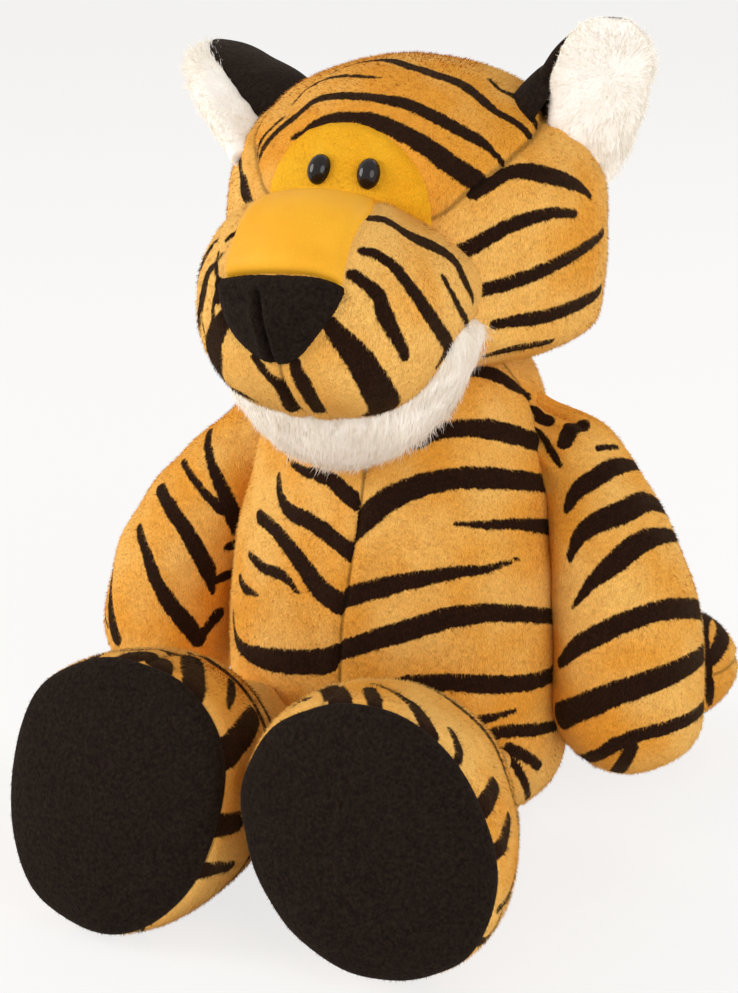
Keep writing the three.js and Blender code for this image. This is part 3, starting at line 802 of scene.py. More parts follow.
torso = {
    "spine": [(0, 0, -0.5), (0, 0, 44.8), (0, 0, 90.1), (0, 7.2, 135.4), (0, 18, 180.7), (0, 24, 226)],
    "across": (1, 0, 0), "width": 152, "depth": 118, "widthShares": [0.95, 0.99, 0.98, 0.91, 0.735, 0.48],
    "depthShares": [0.97, 1, 0.97, 0.9, 0.785, 0.58], "startRound": 34, "endRound": 46, "startFlat": 0.45,
    "segments": 65, "rings": 42, "seamAside": 3, "seamAsideHeights": (85, 145), "lumps": (42, 3, 0.9),
    "backRows": [0.17, 0.26, 0.34, 0.42, 0.5, 0.58, 0.66, 0.74, 0.82],
    "stripes": [
        [(-36, -33, 157, 0.7), (-26, -38, 155, 1.6), (-12, -41, 154, 2.7), (0, -44, 148, 3.2), (7, -45, 145, 3.2)],
        [(-40, -34, 150, 1.1), (-37, -38, 143, 1.8), (-30, -42, 138, 2.9), (-18, -46, 136, 3.1),
         (-6, -49, 131, 3.1), (3, -51, 127, 3.2)],
        [(-48, -35, 131, 2.6), (-38, -42, 129, 2.8), (-28, -47, 124, 3.1), (-20, -51, 118, 3.3), (-11, -54, 111, 4),
         (1, -55, 106, 4)],
        [(-53, -36, 114, 1.1), (-43, -43, 112, 2), (-30, -49, 112, 2), (-20, -53, 106, 0.4)],
        [(-60, -34, 101, 1.9), (-54, -39, 99, 1.9), (-45, -45, 100, 0.5)],
        [(-66, -29, 83, 1.5), (-63, -33, 75, 2.3), (-51, -43, 73, 3), (-36, -52, 75, 4.5), (-21, -56, 78, 4.8),
         (-9, -58, 81, 4.9), (1, -58, 85, 4.7)],
        [(31, -12, 199, 2.6), (40, -5, 197, 2.8), (46, 0, 194, 2.8), (50, 3, 190, 2.4), (54, 9, 184, 1.3)],
        [(22, -33, 171, 1.8), (30, -28, 176, 2.8), (40, -21, 177, 3.2), (51, -13, 175, 3.7), (63, 3, 167, 3.3)],
        [(4, -47, 139, 4.2), (14, -43, 149, 4.4), (25, -38, 155, 4.1), (37, -32, 158, 3.9), (49, -24, 158, 3.9),
         (61, -12, 155, 3.5), (68, 13, 146, 2.8)],
        [(41, -36, 141, 0.6), (50, -30, 140, 1.3), (60, -21, 139, 1.9), (69, -7, 135, 2.6), (71, 13, 128, 3.3)],
        [(63, -23, 125, 0.6), (54, -33, 123, 1.4), (42, -42, 122, 2.3), (29, -48, 119, 3), (18, -52, 116, 3.5),
         (2, -54, 110, 3.7)],
        [(1, -58, 88, 3.5), (15, -56, 94, 3.7), (28, -52, 99, 3.9), (43, -45, 104, 3.9), (56, -36, 105, 3.5),
         (67, -24, 102, 3), (74, 10, 91, 2.6)],
        [(15, -58, 74, 0.6), (29, -54, 76, 3.3), (44, -48, 77, 3.3), (61, -35, 74, 3.5), (71, -21, 72, 3.3),
         (76, -6, 72, 3.3)],
        [(45, -48, 59, 1.2), (54, -41, 60, 1.6), (66, -29, 61, 0.7)],
        [(53, -42, 50, 1.9), (63, -33, 53, 2.4), (75, -7, 48, 2.2)],
        [(46, -47, 58, 1), (53, -42, 59, 1.6), (66, -29, 61, 0.6)],
        [(56, -40, 46, 1), (64, -32, 41, 1.4), (68, -25, 30, 1.5), (66, -13, 15, 1.1)],
        [(64, -32, 46, 1.9), (68, -26, 41, 2.1), (72, -17, 33, 1.9)],
    ],
}


def makeTorso():
    piece = addBall("torso", torso)[0]
    points = readPoints(piece)
    stripes = torso["stripes"] + hangingStripes(torso, torso["backRows"], 90, 84, 3.8, 14)

    def fromSeam(places):
        # the front seam runs a little to one side at the chest
        aside = torso["seamAside"] * smoothStep(places[:, 2], *torso["seamAsideHeights"])
        return places[:, 0] - aside * (places[:, 1] < 0)

    striped = panelStripes(points, readNormals(piece), fromSeam, stripes)
    markCloth(piece, striped, 0, fromSeam(points), points[:, 1] - sideSeamBack)
    side = np.where(np.abs(points[:, 0]) > 35, points[:, 1] - sideSeamBack, 99)
    lift = seamDip(fromSeam(points), 1.1, puff=0.9) + seamDip(side) + softNoise(points, *torso["lumps"])
    pushOut(piece, lift)
    settleOnGround(piece)
    dress(piece, "striped_plush", "body", "body_front_left", "body_front_right", "body_back_left",
          "body_back_right", "body_stuffing")
    addPile(piece, "striped_plush", "body", readPoints(piece)[:, 2] > pileFoot)


makeTorso()
print("torso made")

# Head, with the brow patch and the eyes

head = {
    "spine": [(0, 15, 194), (0, 15, 256.5), (0, 15, 319)], "across": (1, 0, 0), "width": 160, "depth": 136,
    "widthShares": [0.88, 0.98, 1, 0.98, 0.94, 0.9], "depthShares": [0.88, 0.98, 1, 0.98, 0.94, 0.9],
    "startRound": 24, "endRound": 54, "segments": 70, "rings": 48, "lumps": (40, 5, 0.7),
    # the crown is painted deeper and the cheeks paler, partly for the nap and partly as painted shade and light
    "crownNapAndPaintedShade": -0.3, "cheekNapAndPaintedLight": 0.05,
    "backRows": [0.2, 0.31, 0.42, 0.53, 0.64, 0.75, 0.85],
    "crownSeam": ([-70, -50, -43.5, -38, -28, -16, 2, 40, 95],
                  [250, 261, 268.4, 275.4, 283, 289.4, 296.4, 311, 331]),
    "browDepth": -20,
    "brow": [(-36.6, 262), (-37.5, 272), (-35.5, 281), (-31.6, 289.5), (-25, 295.3), (-16, 298.6), (-6, 299.6),
             (2, 298.8), (10, 296.3), (18, 291.8), (25.6, 285.4), (30.5, 278.5), (33.5, 270), (34, 262), (33, 240),
             (-35, 240)],
    "stripes": [
        [(-32, -36, 292, 0.8), (-26, -35, 295, 1.8), (-18, -33, 300, 2.1), (-6, -33, 302, 2.1), (4, -34, 301, 2.9),
         (16, -36, 298, 3.1), (29, -37, 292, 3.5), (39, -37, 286, 3.8), (49, -34, 280, 3.4), (52, -32, 279, 2.3)],
        [(53, -31, 280, 2.3), (57, -25, 283, 2.5), (63, -19, 283, 2.9), (70, -10, 280, 3.1), (74, -2, 277, 2.9),
         (77, 6, 273, 2), (78, 11, 269, 1.2)],
        [(-48, -35, 280, 0.8), (-46, -33, 286, 1.6), (-41, -30, 293, 1.7), (-34, -27, 299, 1.9),
         (-28, -22, 305, 1.9), (-19, -22, 307, 2), (-9, -24, 308, 2), (3, -25, 308, 2.1), (15, -25, 306, 2.5),
         (26, -26, 303, 2.5), (36, -26, 299, 2.5), (45, -25, 295, 2.1), (50, -25, 292, 1.2)],
        [(-51, -31, 283, 0.6), (-50, -29, 287, 1), (-47, -27, 291, 0.8)],
        [(-41, -17, 302, 0.5), (-38, -10, 307, 0.5), (-30, -8, 311, 0.8), (-21, -10, 313, 0.8),
         (-10, -12, 313, 0.8), (-3, -13, 314, 0.4)],
        [(-30, -3, 312, 0.3), (-23, 3, 316, 0.6), (-17, 4, 317, 1), (-7, 3, 318, 1.9), (5, -2, 317, 2.1),
         (18, -5, 315, 2.2), (29, -5, 312, 2.4), (37, -7, 309, 2.1), (45, -9, 305, 1.8), (52, -8, 301, 1.6),
         (58, -7, 296, 1.6), (63, -5, 293, 1.2)],
        [(35, 8, 313, 0.8), (41, 5, 310, 1), (46, 6, 308, 1.4), (49, 6, 306, 1.6), (53, 4, 303, 1.6)],
        [(45, -41, 254, 2.7), (50, -37, 257, 2.7), (58, -31, 262, 2.5), (65, -23, 265, 2.3), (71, -14, 266, 1.9),
         (76, -2, 264, 1.4)],
        [(48, -39, 238, 1.9), (54, -35, 239, 2.3), (64, -26, 242, 2.5), (73, -13, 246, 2.3), (77, -3, 248, 2.2),
         (79, 22, 252, 1.6)],
        [(55, -33, 224, 1.6), (63, -26, 225, 2.3), (69, -18, 225, 2.5), (77, -1, 227, 2.4), (79, 22, 229, 1.6)],
        [(50, -29, 210, 1.4), (61, -23, 212, 2), (71, -10, 213, 1.4)],
        [(-57, -30, 273, 1.6), (-53, -34, 269, 3.6), (-48, -38, 265, 2.8)],
    ],
}


def makeHead():
    piece = addBall("headSkin", head)[0]
    points = readPoints(piece)
    seen = head["stripes"]
    cheekLines = [line for line in seen if np.mean([spot[0] for spot in line]) > 45]
    stripes = seen + turnedLines(head, cheekLines, flipRight=True)
    stripes += hangingStripes(head, head["backRows"], 90, 70, 3.2, 23)

    def overCrown(places):
        return (places[:, 2] - np.interp(places[:, 1], *head["crownSeam"])) * 0.9

    crown = overCrown(points)
    striped = panelStripes(points, readNormals(piece), overCrown, stripes)
    # the crown is painted deeper and the cheeks paler, partly for the nap and partly as painted shade and light
    brushed = np.where(crown > 0, head["crownNapAndPaintedShade"], head["cheekNapAndPaintedLight"]) * smoothStep(np.abs(crown), 0, 1.5)
    markCloth(piece, striped, brushed, crown, np.abs(points[:, 0]) + np.maximum(crown, 0) * 3)
    cheek = np.where(crown < 0, points[:, 0], 99)
    lift = seamDip(crown, 1.1, 1.6, 0.7) + seamDip(cheek, 0.8) + softNoise(points, *head["lumps"])
    brow = np.where(points[:, 1] < head["browDepth"], outlineDistance(points[:, [0, 2]], head["brow"]), 99)
    pushOut(piece, lift + seamDip(brow, 0.7))
    patch = panelFrom(piece, "browPatch", brow)[0]
    dress(piece, "striped_plush", "head", "head_crown", "head_cheek_left", "head_cheek_right", "head_stuffing")
    dress(patch, "gold_plush", "head", "brow_patch")
    addPile(piece, "striped_plush", "head", brow > 1)
    addPile(patch, "gold_plush", "head")
    return patch


browPiece = makeHead()
print("head made")

eyes = {"spacing": 21.2, "middle": -2.7, "height": 281.8, "width": 9.3, "tall": 12.3, "proud": 4.4,
        "seat": 0.5, "segments": 48, "rings": 32, "roughness": 0.08, "gloss": 0.28, "grain": 300,
        "colours": [(0.006, 0.004, 0.0035, 1), (0.014, 0.009, 0.007, 1)]}


def makeEyes(surface):
    tree = BVHTree.FromObject(surface, bpy.context.evaluated_depsgraph_get())
    material = bpy.data.materials.new("glossyBlack")
    material.use_nodes = True
    nodes, links = material.node_tree.nodes, material.node_tree.links
    shader = nodes["Principled BSDF"]
    shader.inputs["Roughness"].default_value = eyes["roughness"]
    shader.inputs["Specular IOR Level"].default_value = eyes["gloss"]
    grain = nodes.new("ShaderNodeTexNoise")
    grain.inputs["Scale"].default_value = eyes["grain"]
    ramp = nodes.new("ShaderNodeValToRGB")
    for element, colour in zip(ramp.color_ramp.elements, eyes["colours"]):
        element.color = colour
    links.new(nodes.new("ShaderNodeTexCoord").outputs["Object"], grain.inputs["Vector"])
    links.new(grain.outputs["Fac"], ramp.inputs["Fac"])
    links.new(ramp.outputs["Color"], shader.inputs["Base Color"])
    for word, side in (("left", 1), ("right", -1)):
        start = own(eyes["middle"] + side * eyes["spacing"] / 2, -200, eyes["height"])
        hit, normal = tree.ray_cast(start, Vector((0, 1, 0)))[:2]
        eye = addSphere(f"eyeDome_{word}", eyes["segments"], eyes["rings"], 0.5)
        eye.scale = (eyes["width"] * mm, eyes["tall"] * mm, eyes["proud"] * 2 * mm)
        up = (Vector((0, 0, 1)) - normal * normal.z).normalized()
        turn = Matrix((up.cross(normal), up, normal)).transposed()
        eye.rotation_euler = turn.to_euler()
        eye.location = hit + normal * eyes["seat"] * mm
        bpy.ops.object.transform_apply(location=True, rotation=True, scale=True)
        bpy.ops.object.shade_smooth()
        eye.data.materials.append(material)
        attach(eye, "head")
        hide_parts(f"eye_{word}")


makeEyes(browPiece)
print("eyes made")

# Muzzle, with the satin bridge and the velour nose

muzzle = {
    "spine": [(0, -14, 240), (0, -63.5, 238), (0, -113, 232)], "across": (1, 0, 0), "width": 103, "depth": 88,
    "widthShares": [0.96, 1, 0.99, 0.94, 0.9], "depthShares": [0.6, 0.69, 0.92, 1, 0.94], "startRound": 8,
    "endRound": 38, "segments": 60, "rings": 38, "bridgeHalf": 24.5, "bridgeTaper": 11,
    # the muzzle is painted paler all over, partly for its nap and partly as a painted sheen
    "brushed": 0.4, "sideFrom": 22,
    "lumps": (34, 8, 0.6), "jowl": 4.2, "jowlTurns": (-0.8, -2.34), "jowlSpread": 0.5,
    "jowlStart": (20, 60), "jowlEnd": (96, 112), "noseLumps": (22, 4, 0.4), "noseDome": 4.2,
    "nose": [(-26, 249.4), (-17, 252.4), (-6, 254.4), (3, 255.2), (11.6, 255.3), (18, 254), (24.6, 250.8),
             (23.8, 246), (22, 241.5), (19.5, 237), (16, 232.4), (12, 227.8), (7.6, 223.4), (2.4, 220.6),
             (-3, 220.8), (-10.1, 223.6), (-17.5, 229), (-22.4, 236.5), (-25, 243)],
    # the stitched crease down the nose, with its raised lip, and the shallow fold beside it
    "crease": [(-5, 248), (-3, 240), (-1, 231), (-0.5, 217)], "creaseDepth": 2.4, "creaseWidth": 1.3,
    "lipHeight": 0.8, "lipAway": 3, "lipWidth": 1.6,
    "fold": [(12.5, 243), (10.5, 235.5), (6, 227), (2.4, 220)], "foldDepth": 1.0, "foldWidth": 2.4,
    "stripes": [
        [(25, -83, 273, 2), (31, -77, 270, 2.4), (38, -72, 265, 2.6), (43, -63, 260, 2.8), (47, -55, 254, 2.8),
         (50, -54, 247, 2.3), (51, -51, 242, 1.5), (51, -47, 236, 0.8)],
        [(28, -97, 264, 1.1), (33, -94, 262, 1.7), (38, -91, 258, 2), (44, -88, 250, 2.3), (48, -83, 241, 2.5),
         (49, -74, 231, 2.7), (47, -63, 222, 2.7), (46, -66, 220, 2.3), (44, -69, 217, 1.1)],
        [(27, -103, 256, 1.8), (31, -101, 253, 2), (36, -99, 248, 2.6), (38, -98, 241, 2.8), (40, -95, 234, 2.2),
         (42, -92, 228, 2), (42, -90, 224, 1.3)],
        [(48, -69, 250, 0.9), (50, -65, 243, 1.1), (51, -58, 235, 1.3), (48, -47, 227, 1.2), (47, -46, 225, 0.6)],
        [(21, -109, 238, 2.7), (26, -106, 231, 3.9), (30, -102, 224, 4.6), (32, -95, 215, 5), (31, -86, 206, 5.1),
         (27, -82, 201, 5.1)],
        [(7, -110, 222, 2.2), (9, -106, 214, 2.8), (10, -99, 205, 2.6), (9, -94, 201, 2.3)],
        [(-10, -110, 222, 1.3), (-4, -107, 215, 1.7), (-1, -103, 209, 2.3), (-2, -93, 199, 2.7)],
        [(-29, -105, 237, 0.8), (-29, -104, 228, 0.9), (-27, -101, 219, 1.5), (-29, -90, 208, 2.3),
         (-21, -95, 206, 2.3), (-17, -93, 203, 1.1)],
        [(-26, -106, 246, 1.1), (-27, -106, 241, 0.9)],
        [(-34, -100, 249, 0.5), (-36, -100, 240, 0.5), (-39, -95, 228, 0.5)],
        [(-22, -96, 268, 0.7), (-25, -97, 265, 0.8), (-27, -98, 263, 0.6)],
        [(-27, -101, 258, 0.7), (-28, -102, 256, 0.6)],
    ],
}


def makeMuzzle():
    piece, turn = addBall("muzzleSkin", muzzle)[:2]
    points = readPoints(piece)
    seen = muzzle["stripes"]
    middles = [np.mean([spot[0] for spot in line]) for line in seen]
    left = [line for line, middle in zip(seen, middles) if middle > muzzle["sideFrom"]]
    both = [line for line, middle in zip(seen, middles) if abs(middle) > muzzle["sideFrom"]]
    stripes = seen + turnedLines(muzzle, left, flipRight=True) + turnedLines(muzzle, both, flipUp=True)
    markCloth(piece, nearLines(points, stripes, readNormals(piece)), muzzle["brushed"], points[:, 0])
    flat = points[:, [0, 2]]
    smooth = [tuple(p) for p in curveThrough(muzzle["nose"] + muzzle["nose"][:1], np.linspace(0, 1, 90))[:-1]]
    nose = np.where(points[:, 1] < -70, outlineDistance(flat, smooth), 99)
    half = muzzle["bridgeHalf"] - muzzle["bridgeTaper"] * smoothStep(points[:, 1], -84, -46)
    bridge = np.where(points[:, 2] > 246, np.abs(points[:, 0]) - half, 99)
    bridge = np.maximum(bridge, -nose + 0.01)
    under = np.where((points[:, 2] < 222) & (points[:, 1] < -40), points[:, 0], 99)
    jowls = sum(np.exp(-(((turn - middle) / muzzle["jowlSpread"]) ** 2)) for middle in muzzle["jowlTurns"])
    forward = -points[:, 1]
    jowls *= smoothStep(forward, *muzzle["jowlStart"]) * (1 - smoothStep(forward, *muzzle["jowlEnd"]))
    lift = softNoise(points, *muzzle["lumps"]) + muzzle["jowl"] * jowls
    pushOut(piece, lift + seamDip(under, 1.6, 2.4, 0.9) + seamDip(bridge, 0.8) + seamDip(nose, 0.8))
    nosePanel, kept = panelFrom(piece, "nosePad", nose, lift=0.8)
    spots = readPoints(nosePanel)
    crease = lineDistance(spots[:, [0, 2]], muzzle["crease"])
    fold = lineDistance(spots[:, [0, 2]], muzzle["fold"])
    deep = muzzle["creaseDepth"] * np.exp(-((crease / muzzle["creaseWidth"]) ** 2))
    deep -= muzzle["lipHeight"] * np.exp(-(((crease - muzzle["lipAway"]) / muzzle["lipWidth"]) ** 2))
    deep += muzzle["foldDepth"] * np.exp(-((fold / muzzle["foldWidth"]) ** 2))
    dome = muzzle["noseDome"] * (1 - np.exp(np.minimum(kept, 0) / 6)) - deep * smoothStep(-kept, 0.2, 4)
    pushOut(nosePanel, dome + softNoise(spots, *muzzle["noseLumps"]))
    bridgePanel = panelFrom(piece, "bridgePanel", bridge)[0]
    dress(piece, "striped_plush", "head", "muzzle_left", "muzzle_right")
    dress(nosePanel, "dark_velour", "head", "nose")
    dress(bridgePanel, "satin", "head", "muzzle_bridge")
    addPile(piece, "striped_plush", "head", (nose > 1) & (bridge > 0.6))
    addPile(nosePanel, "dark_velour", "head")


makeMuzzle()
print("muzzle made")

# Arms

# gathers: the height, number, phase and twist of each wave of folds at the root
armShares = {"width": 62, "depth": 62, "widthShares": [0.34, 0.5, 0.8, 0.98, 1, 0.98],
             "depthShares": [0.62, 0.58, 0.8, 0.97, 1, 0.98], "across": (0, 1, 0), "startRound": 8,
             "endRound": 30, "segments": 48, "rings": 48, "seamSetback": 10, "pinch": 0.4, "pinchReach": (4, 36),
             "pinchDrop": 9, "pileFrom": 14, "gatherReach": (12, 46),
             "gathers": [(1.2, 11, 0.6, 0.05), (0.9, 5, 2, -0.04)]}
armLeft = dict(armShares, lumps=(36, 12, 0.8), spine=[
    (46, 14, 181), (76.4, 11, 156.7), (91.8, 7.9, 126.3), (101, 5.6, 86.8), (103.4, 4.9, 29),
], stripes=[
        [(53, 17, 182, 1.8), (58, 12, 182, 2.8), (61, 10, 179, 3), (65, 7, 178, 2.6)],
        [(60, 5, 174, 1.5), (64, 1, 171, 2.2), (67, 0, 167, 2), (73, -4, 161, 1)],
        [(79, 6, 177, 3), (75, 2, 175, 3.3), (74, -1, 170, 2.7)],
        [(87, 2, 168, 1.1), (92, 10, 167, 0.8)],
        [(99, 14, 159, 2.1), (94, 2, 161, 3.3), (89, -5, 158, 3.4), (83, -8, 153, 3.2), (79, -10, 145, 1.8)],
        [(111, 16, 141, 2.4), (108, 4, 148, 3.8), (102, -7, 146, 4.2), (93, -13, 142, 4), (86, -15, 135, 2.9),
         (83, -16, 126, 1.3)],
        [(117, 16, 130, 1.7), (114, 0, 135, 3.2), (109, -9, 134, 4), (103, -16, 128, 3.9), (95, -20, 120, 2.6),
         (86, -20, 107, 0.7)],
        [(128, 13, 101, 3.7), (125, -6, 108, 3.7), (114, -18, 107, 3.6), (101, -24, 100, 3.8),
         (89, -23, 91, 3.3), (80, -17, 80, 1.8)],
        [(132, 9, 84, 3.6), (128, -11, 83, 4.3), (117, -22, 79, 4.5), (102, -26, 72, 4.7), (81, -17, 57, 5.1)],
        [(133, 10, 61, 2.4), (129, -11, 60, 2.7), (117, -22, 57, 2.7), (106, -24, 51, 2.7), (89, -12, 38, 2.1)],
        [(114, -22, 52, 2.4), (110, -20, 43, 2.7), (105, -13, 35, 2.7)],
        [(122, 16, 118, 1), (124, 15, 115, 0.7)],
])
armRight = dict(armShares, lumps=(36, 10, 0.8), spine=[
    (-41.4, 14, 181), (-64.2, 11, 156.7), (-86, 7.9, 126.3), (-107.5, 5.6, 86.8), (-117, 4.9, 29),
], stripes=[
        [(-89, -1, 153, 1.5), (-87, -7, 149, 1.7), (-82, -12, 141, 2), (-77, -14, 133, 2.7),
         (-73, -13, 122, 3.1), (-73, -12, 112, 0.6)],
        [(-99, -7, 140, 1.4), (-90, -15, 135, 1.5), (-83, -16, 129, 1.7), (-77, -15, 124, 2.3)],
        [(-108, -11, 127, 2.7), (-98, -19, 120, 3.1), (-91, -21, 113, 3.1), (-86, -20, 104, 3.3),
         (-83, -17, 95, 3.3), (-82, -14, 84, 0.8)],
        [(-117, -17, 110, 2), (-110, -23, 101, 2.5), (-105, -25, 91, 2.9), (-99, -25, 81, 3.3),
         (-93, -22, 72, 3.5), (-88, -17, 62, 3.5)],
        [(-134, -9, 86, 0.9), (-132, -14, 75, 2.4), (-127, -21, 59, 3.6)],
        [(-136, -11, 64, 0.6), (-133, -16, 61, 0.7)],
        [(-67, -9, 125, 1.7), (-63, -3, 128, 2.3)],
        [(-75, -12, 106, 1.9), (-69, -6, 109, 2.3)],
        [(-80, -14, 90, 1.9), (-74, -4, 93, 2.3)],
        [(-87, -16, 63, 1.6), (-81, -10, 72, 3.1)],
        [(-60, -3, 141, 1.5), (-56, -1, 145, 2.3)],
])


def makeArm(word, side, arm):
    piece, turn, places = addBall(f"armSkin_{word}", arm)
    points = readPoints(piece)
    stripes = arm["stripes"] + turnedLines(arm, arm["stripes"], flipRight=True, shift=4)
    stripes += turnedLines(arm, arm["stripes"], flipUp=True, shift=-3)
    at = spineStep(arm, places)
    seam = rightOf(arm, points, at) - arm["seamSetback"]
    markCloth(piece, nearLines(points, stripes, readNormals(piece)), 0, seam)
    # the gathered seam draws the shoulder in
    drawn = arm["pinch"] * (1 - smoothStep(places, *arm["pinchReach"]))[:, None]
    drop = np.array((0, 0, arm["pinchDrop"]))
    writePoints(piece, points + (arm["centre"][at] - drop - points) * drawn)
    pushOut(piece, seamDip(seam, 1.0) + gathered(arm, turn, places) + softNoise(points, *arm["lumps"]))
    settleOnGround(piece)
    dress(piece, "striped_plush", None, f"arm_{word}_front", f"arm_{word}_back", f"arm_{word}_stuffing")
    pileHere = (places > arm["pileFrom"]) & (readPoints(piece)[:, 2] > pileFoot)
    for soft in (piece, addPile(piece, "striped_plush", None, pileHere)):
        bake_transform(soft, "body", f"arm_{word}", own(side * 44, 14, 190), own(side * 66, 12, 162))


for word, side, arm in (("left", 1, armLeft), ("right", -1, armRight)):
    makeArm(word, side, arm)
print("arms made")

# Legs and soles

# bulges: how far the foot's outline stands out, every 30 degrees round it
# the foot's cloth is painted a little paler, partly for its nap and partly as painted light
legShares = {"startRound": 8, "endRound": 9, "segments": 62, "rings": 48, "soleSeam": 9, "brushed": 0.1,
             "rows": [0.34, 0.44, 0.54], "bulgeReach": (0.45, 0.85), "bulgeRadius": 36, "stripeGain": 1.3,
             "pileFrom": 24, "soleFrom": 0.6, "soleDome": 2.2, "gatherReach": (20, 60),
             "gathers": [(1.1, 10, 0, 0), (0.7, 6, 1, 0)]}
legLeft = dict(legShares, width=97, depth=111, lumps=(40, 22, 0.8), soleLumps=(30, 32, 0.7), rowSeed=32,
               across=(0.9397, 0, 0.342), spine=[
    (41, -34, 30), (43.5, -66, 37), (48, -100, 46.5), (55, -136, 54.5), (60.5, -168, 58.5),
], widthShares=[0.52, 0.64, 0.8, 0.99, 1.08, 0.98], depthShares=[0.4, 0.54, 0.7, 0.92, 1, 0.965],
    bulges=[-2.8, -1.6, -0.4, 0, 1.4, -2.6, -5.8, -5.5, -4.8, -2, 1.6, 0], stripes=[
        [(24, -146, 100, 0.9), (26, -143, 102, 1.1), (30, -146, 105, 0.9)],
        [(33, -136, 105, 2.4), (34, -137, 106, 2.8), (41, -147, 109, 3.1), (48, -156, 110, 2.7)],
        [(52, -141, 111, 1.6), (56, -147, 111, 2), (60, -153, 111, 1.8)],
        [(50, -134, 110, 0.6), (63, -138, 110, 0.9), (69, -140, 108, 1.8), (76, -146, 106, 2.2),
         (82, -151, 103, 2.2)],
        [(84, -138, 101, 0.9), (89, -142, 98, 1.4), (92, -147, 95, 1.3), (92, -152, 92, 0.9)],
        [(101, -134, 80, 2.2), (103, -143, 79, 2.7), (102, -151, 77, 2.7), (101, -153, 76, 2.5)],
        [(106, -132, 67, 1.3), (108, -142, 63, 2.4), (107, -152, 61, 1.8)],
        [(107, -130, 44, 0.7), (106, -137, 38, 1.5), (106, -149, 38, 1.1)],
        [(105, -142, 32, 0.9), (101, -143, 25, 1.5), (101, -153, 26, 1.5)],
        [(97, -157, 20, 1.1), (93, -159, 17, 1.1)],
])
legRight = dict(legShares, width=93, depth=111, lumps=(40, 20, 0.8), soleLumps=(30, 30, 0.7), rowSeed=30,
                across=(0.9925, 0, -0.1219), spine=[
    (-41, -34, 30), (-44.5, -66, 36), (-46.5, -100, 43), (-46.5, -135, 51.5), (-45.5, -168, 60),
], widthShares=[0.52, 0.64, 0.8, 0.99, 1.07, 0.98], depthShares=[0.4, 0.54, 0.7, 0.92, 1.03, 0.98],
    bulges=[-3.2, -1, -2.2, -4.3, -2.4, 1.8, -2.2, -1.2, 0.9, -0.2, -1.4, -2.8], stripes=[
        [(-75, -150, 99, 1.2), (-70, -148, 103, 1.5), (-65, -146, 106, 2.3), (-61, -137, 107, 1.7),
         (-52, -133, 109, 1), (-47, -125, 108, 0.8), (-40, -123, 106, 1.6)],
        [(-56, -149, 108, 1), (-50, -147, 110, 1.7), (-46, -142, 111, 2.9), (-42, -138, 110, 3.3),
         (-35, -141, 110, 3.2), (-30, -148, 108, 2.1)],
        [(-39, -122, 106, 2.3), (-35, -118, 103, 3.3), (-25, -133, 105, 3.4), (-19, -143, 103, 3.2),
         (-17, -149, 99, 2.6)],
        [(-19, -114, 93, 1), (-13, -126, 93, 1.5), (-9, -136, 92, 0.8)],
        [(-7, -120, 82, 2.9), (-3, -135, 82, 3.8), (-2, -148, 80, 4.1), (-2, -153, 79, 3.8)],
        [(-4, -163, 53, 3.2), (1, -158, 52, 3.2), (3, -147, 49, 2.9)],
        [(-8, -167, 34, 2.4), (-3, -161, 33, 2.3), (-3, -145, 28, 1.5)],
])


def makeLeg(word, side, leg):
    piece, turn, places = addBall(f"legSkin_{word}", leg)
    # the foot isn't a true oval: its outline swells and flattens round the sole
    bulges = np.array(leg["bulges"] * 3)[:, None]
    swell = curveThrough(bulges, (np.degrees(turn) % 360 / 30 + 12) / (len(bulges) - 1))[:, 0]
    swell *= smoothStep(places / leg["walked"][-1], *leg["bulgeReach"])
    at = spineStep(leg, places)
    radius = np.linalg.norm(np.cross(readPoints(piece) - leg["centre"][at], leg["along"][at]), axis=1)
    swell *= smoothStep(radius, 0, leg["bulgeRadius"])
    outward = leg["right"][at] * np.cos(turn)[:, None] + leg["up"][at] * np.sin(turn)[:, None]
    writePoints(piece, readPoints(piece) + outward * swell[:, None])
    points = readPoints(piece)
    seen = [np.array(line) * (1, 1, 1, leg["stripeGain"]) for line in leg["stripes"]]
    stripes = seen + turnedLines(leg, seen, flipRight=True) + turnedLines(leg, seen, flipUp=True)
    stripes += hangingStripes(leg, leg["rows"], 90, 150, 2.9, leg["rowSeed"], seenToo=True)
    offset = rightOf(leg, points, at)
    sole = leg["walked"][-1] - leg["soleSeam"] - places
    seam = np.where(sole > 2, offset, 99)
    markCloth(piece, nearLines(points, stripes, readNormals(piece)), leg["brushed"], offset, sole)
    lift = gathered(leg, turn, places) + softNoise(points, *leg["lumps"])
    pushOut(piece, lift + seamDip(seam, 0.9) + seamDip(sole, 0.8))
    soleFlat = np.where(places > leg["walked"][-1] * leg["soleFrom"], sole, 99)
    panel, kept = panelFrom(piece, f"solePad_{word}", soleFlat)
    crown = leg["soleDome"] * (1 - np.exp(np.minimum(kept, 0) / 3))
    pushOut(panel, crown + softNoise(readPoints(panel), *leg["soleLumps"]))
    settleOnGround(piece)
    settleOnGround(panel)
    dress(piece, "striped_plush", None, f"leg_{word}_outer", f"leg_{word}_inner", f"leg_{word}_stuffing")
    dress(panel, "dark_velour", f"leg_{word}", f"sole_{word}")
    pileHere = (places > leg["pileFrom"]) & (sole > 0.5) & (readPoints(piece)[:, 2] > pileFoot)
    for soft in (piece, addPile(piece, "striped_plush", None, pileHere)):
        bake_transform(soft, "body", f"leg_{word}", own(side * 41, -36, 30), own(side * 45, -78, 38))
    addPile(panel, "dark_velour", f"leg_{word}", readPoints(panel)[:, 2] > pileFoot)


for word, side, leg in (("left", 1, legLeft), ("right", -1, legRight)):
    makeLeg(word, side, leg)
print("legs made")

# Tail

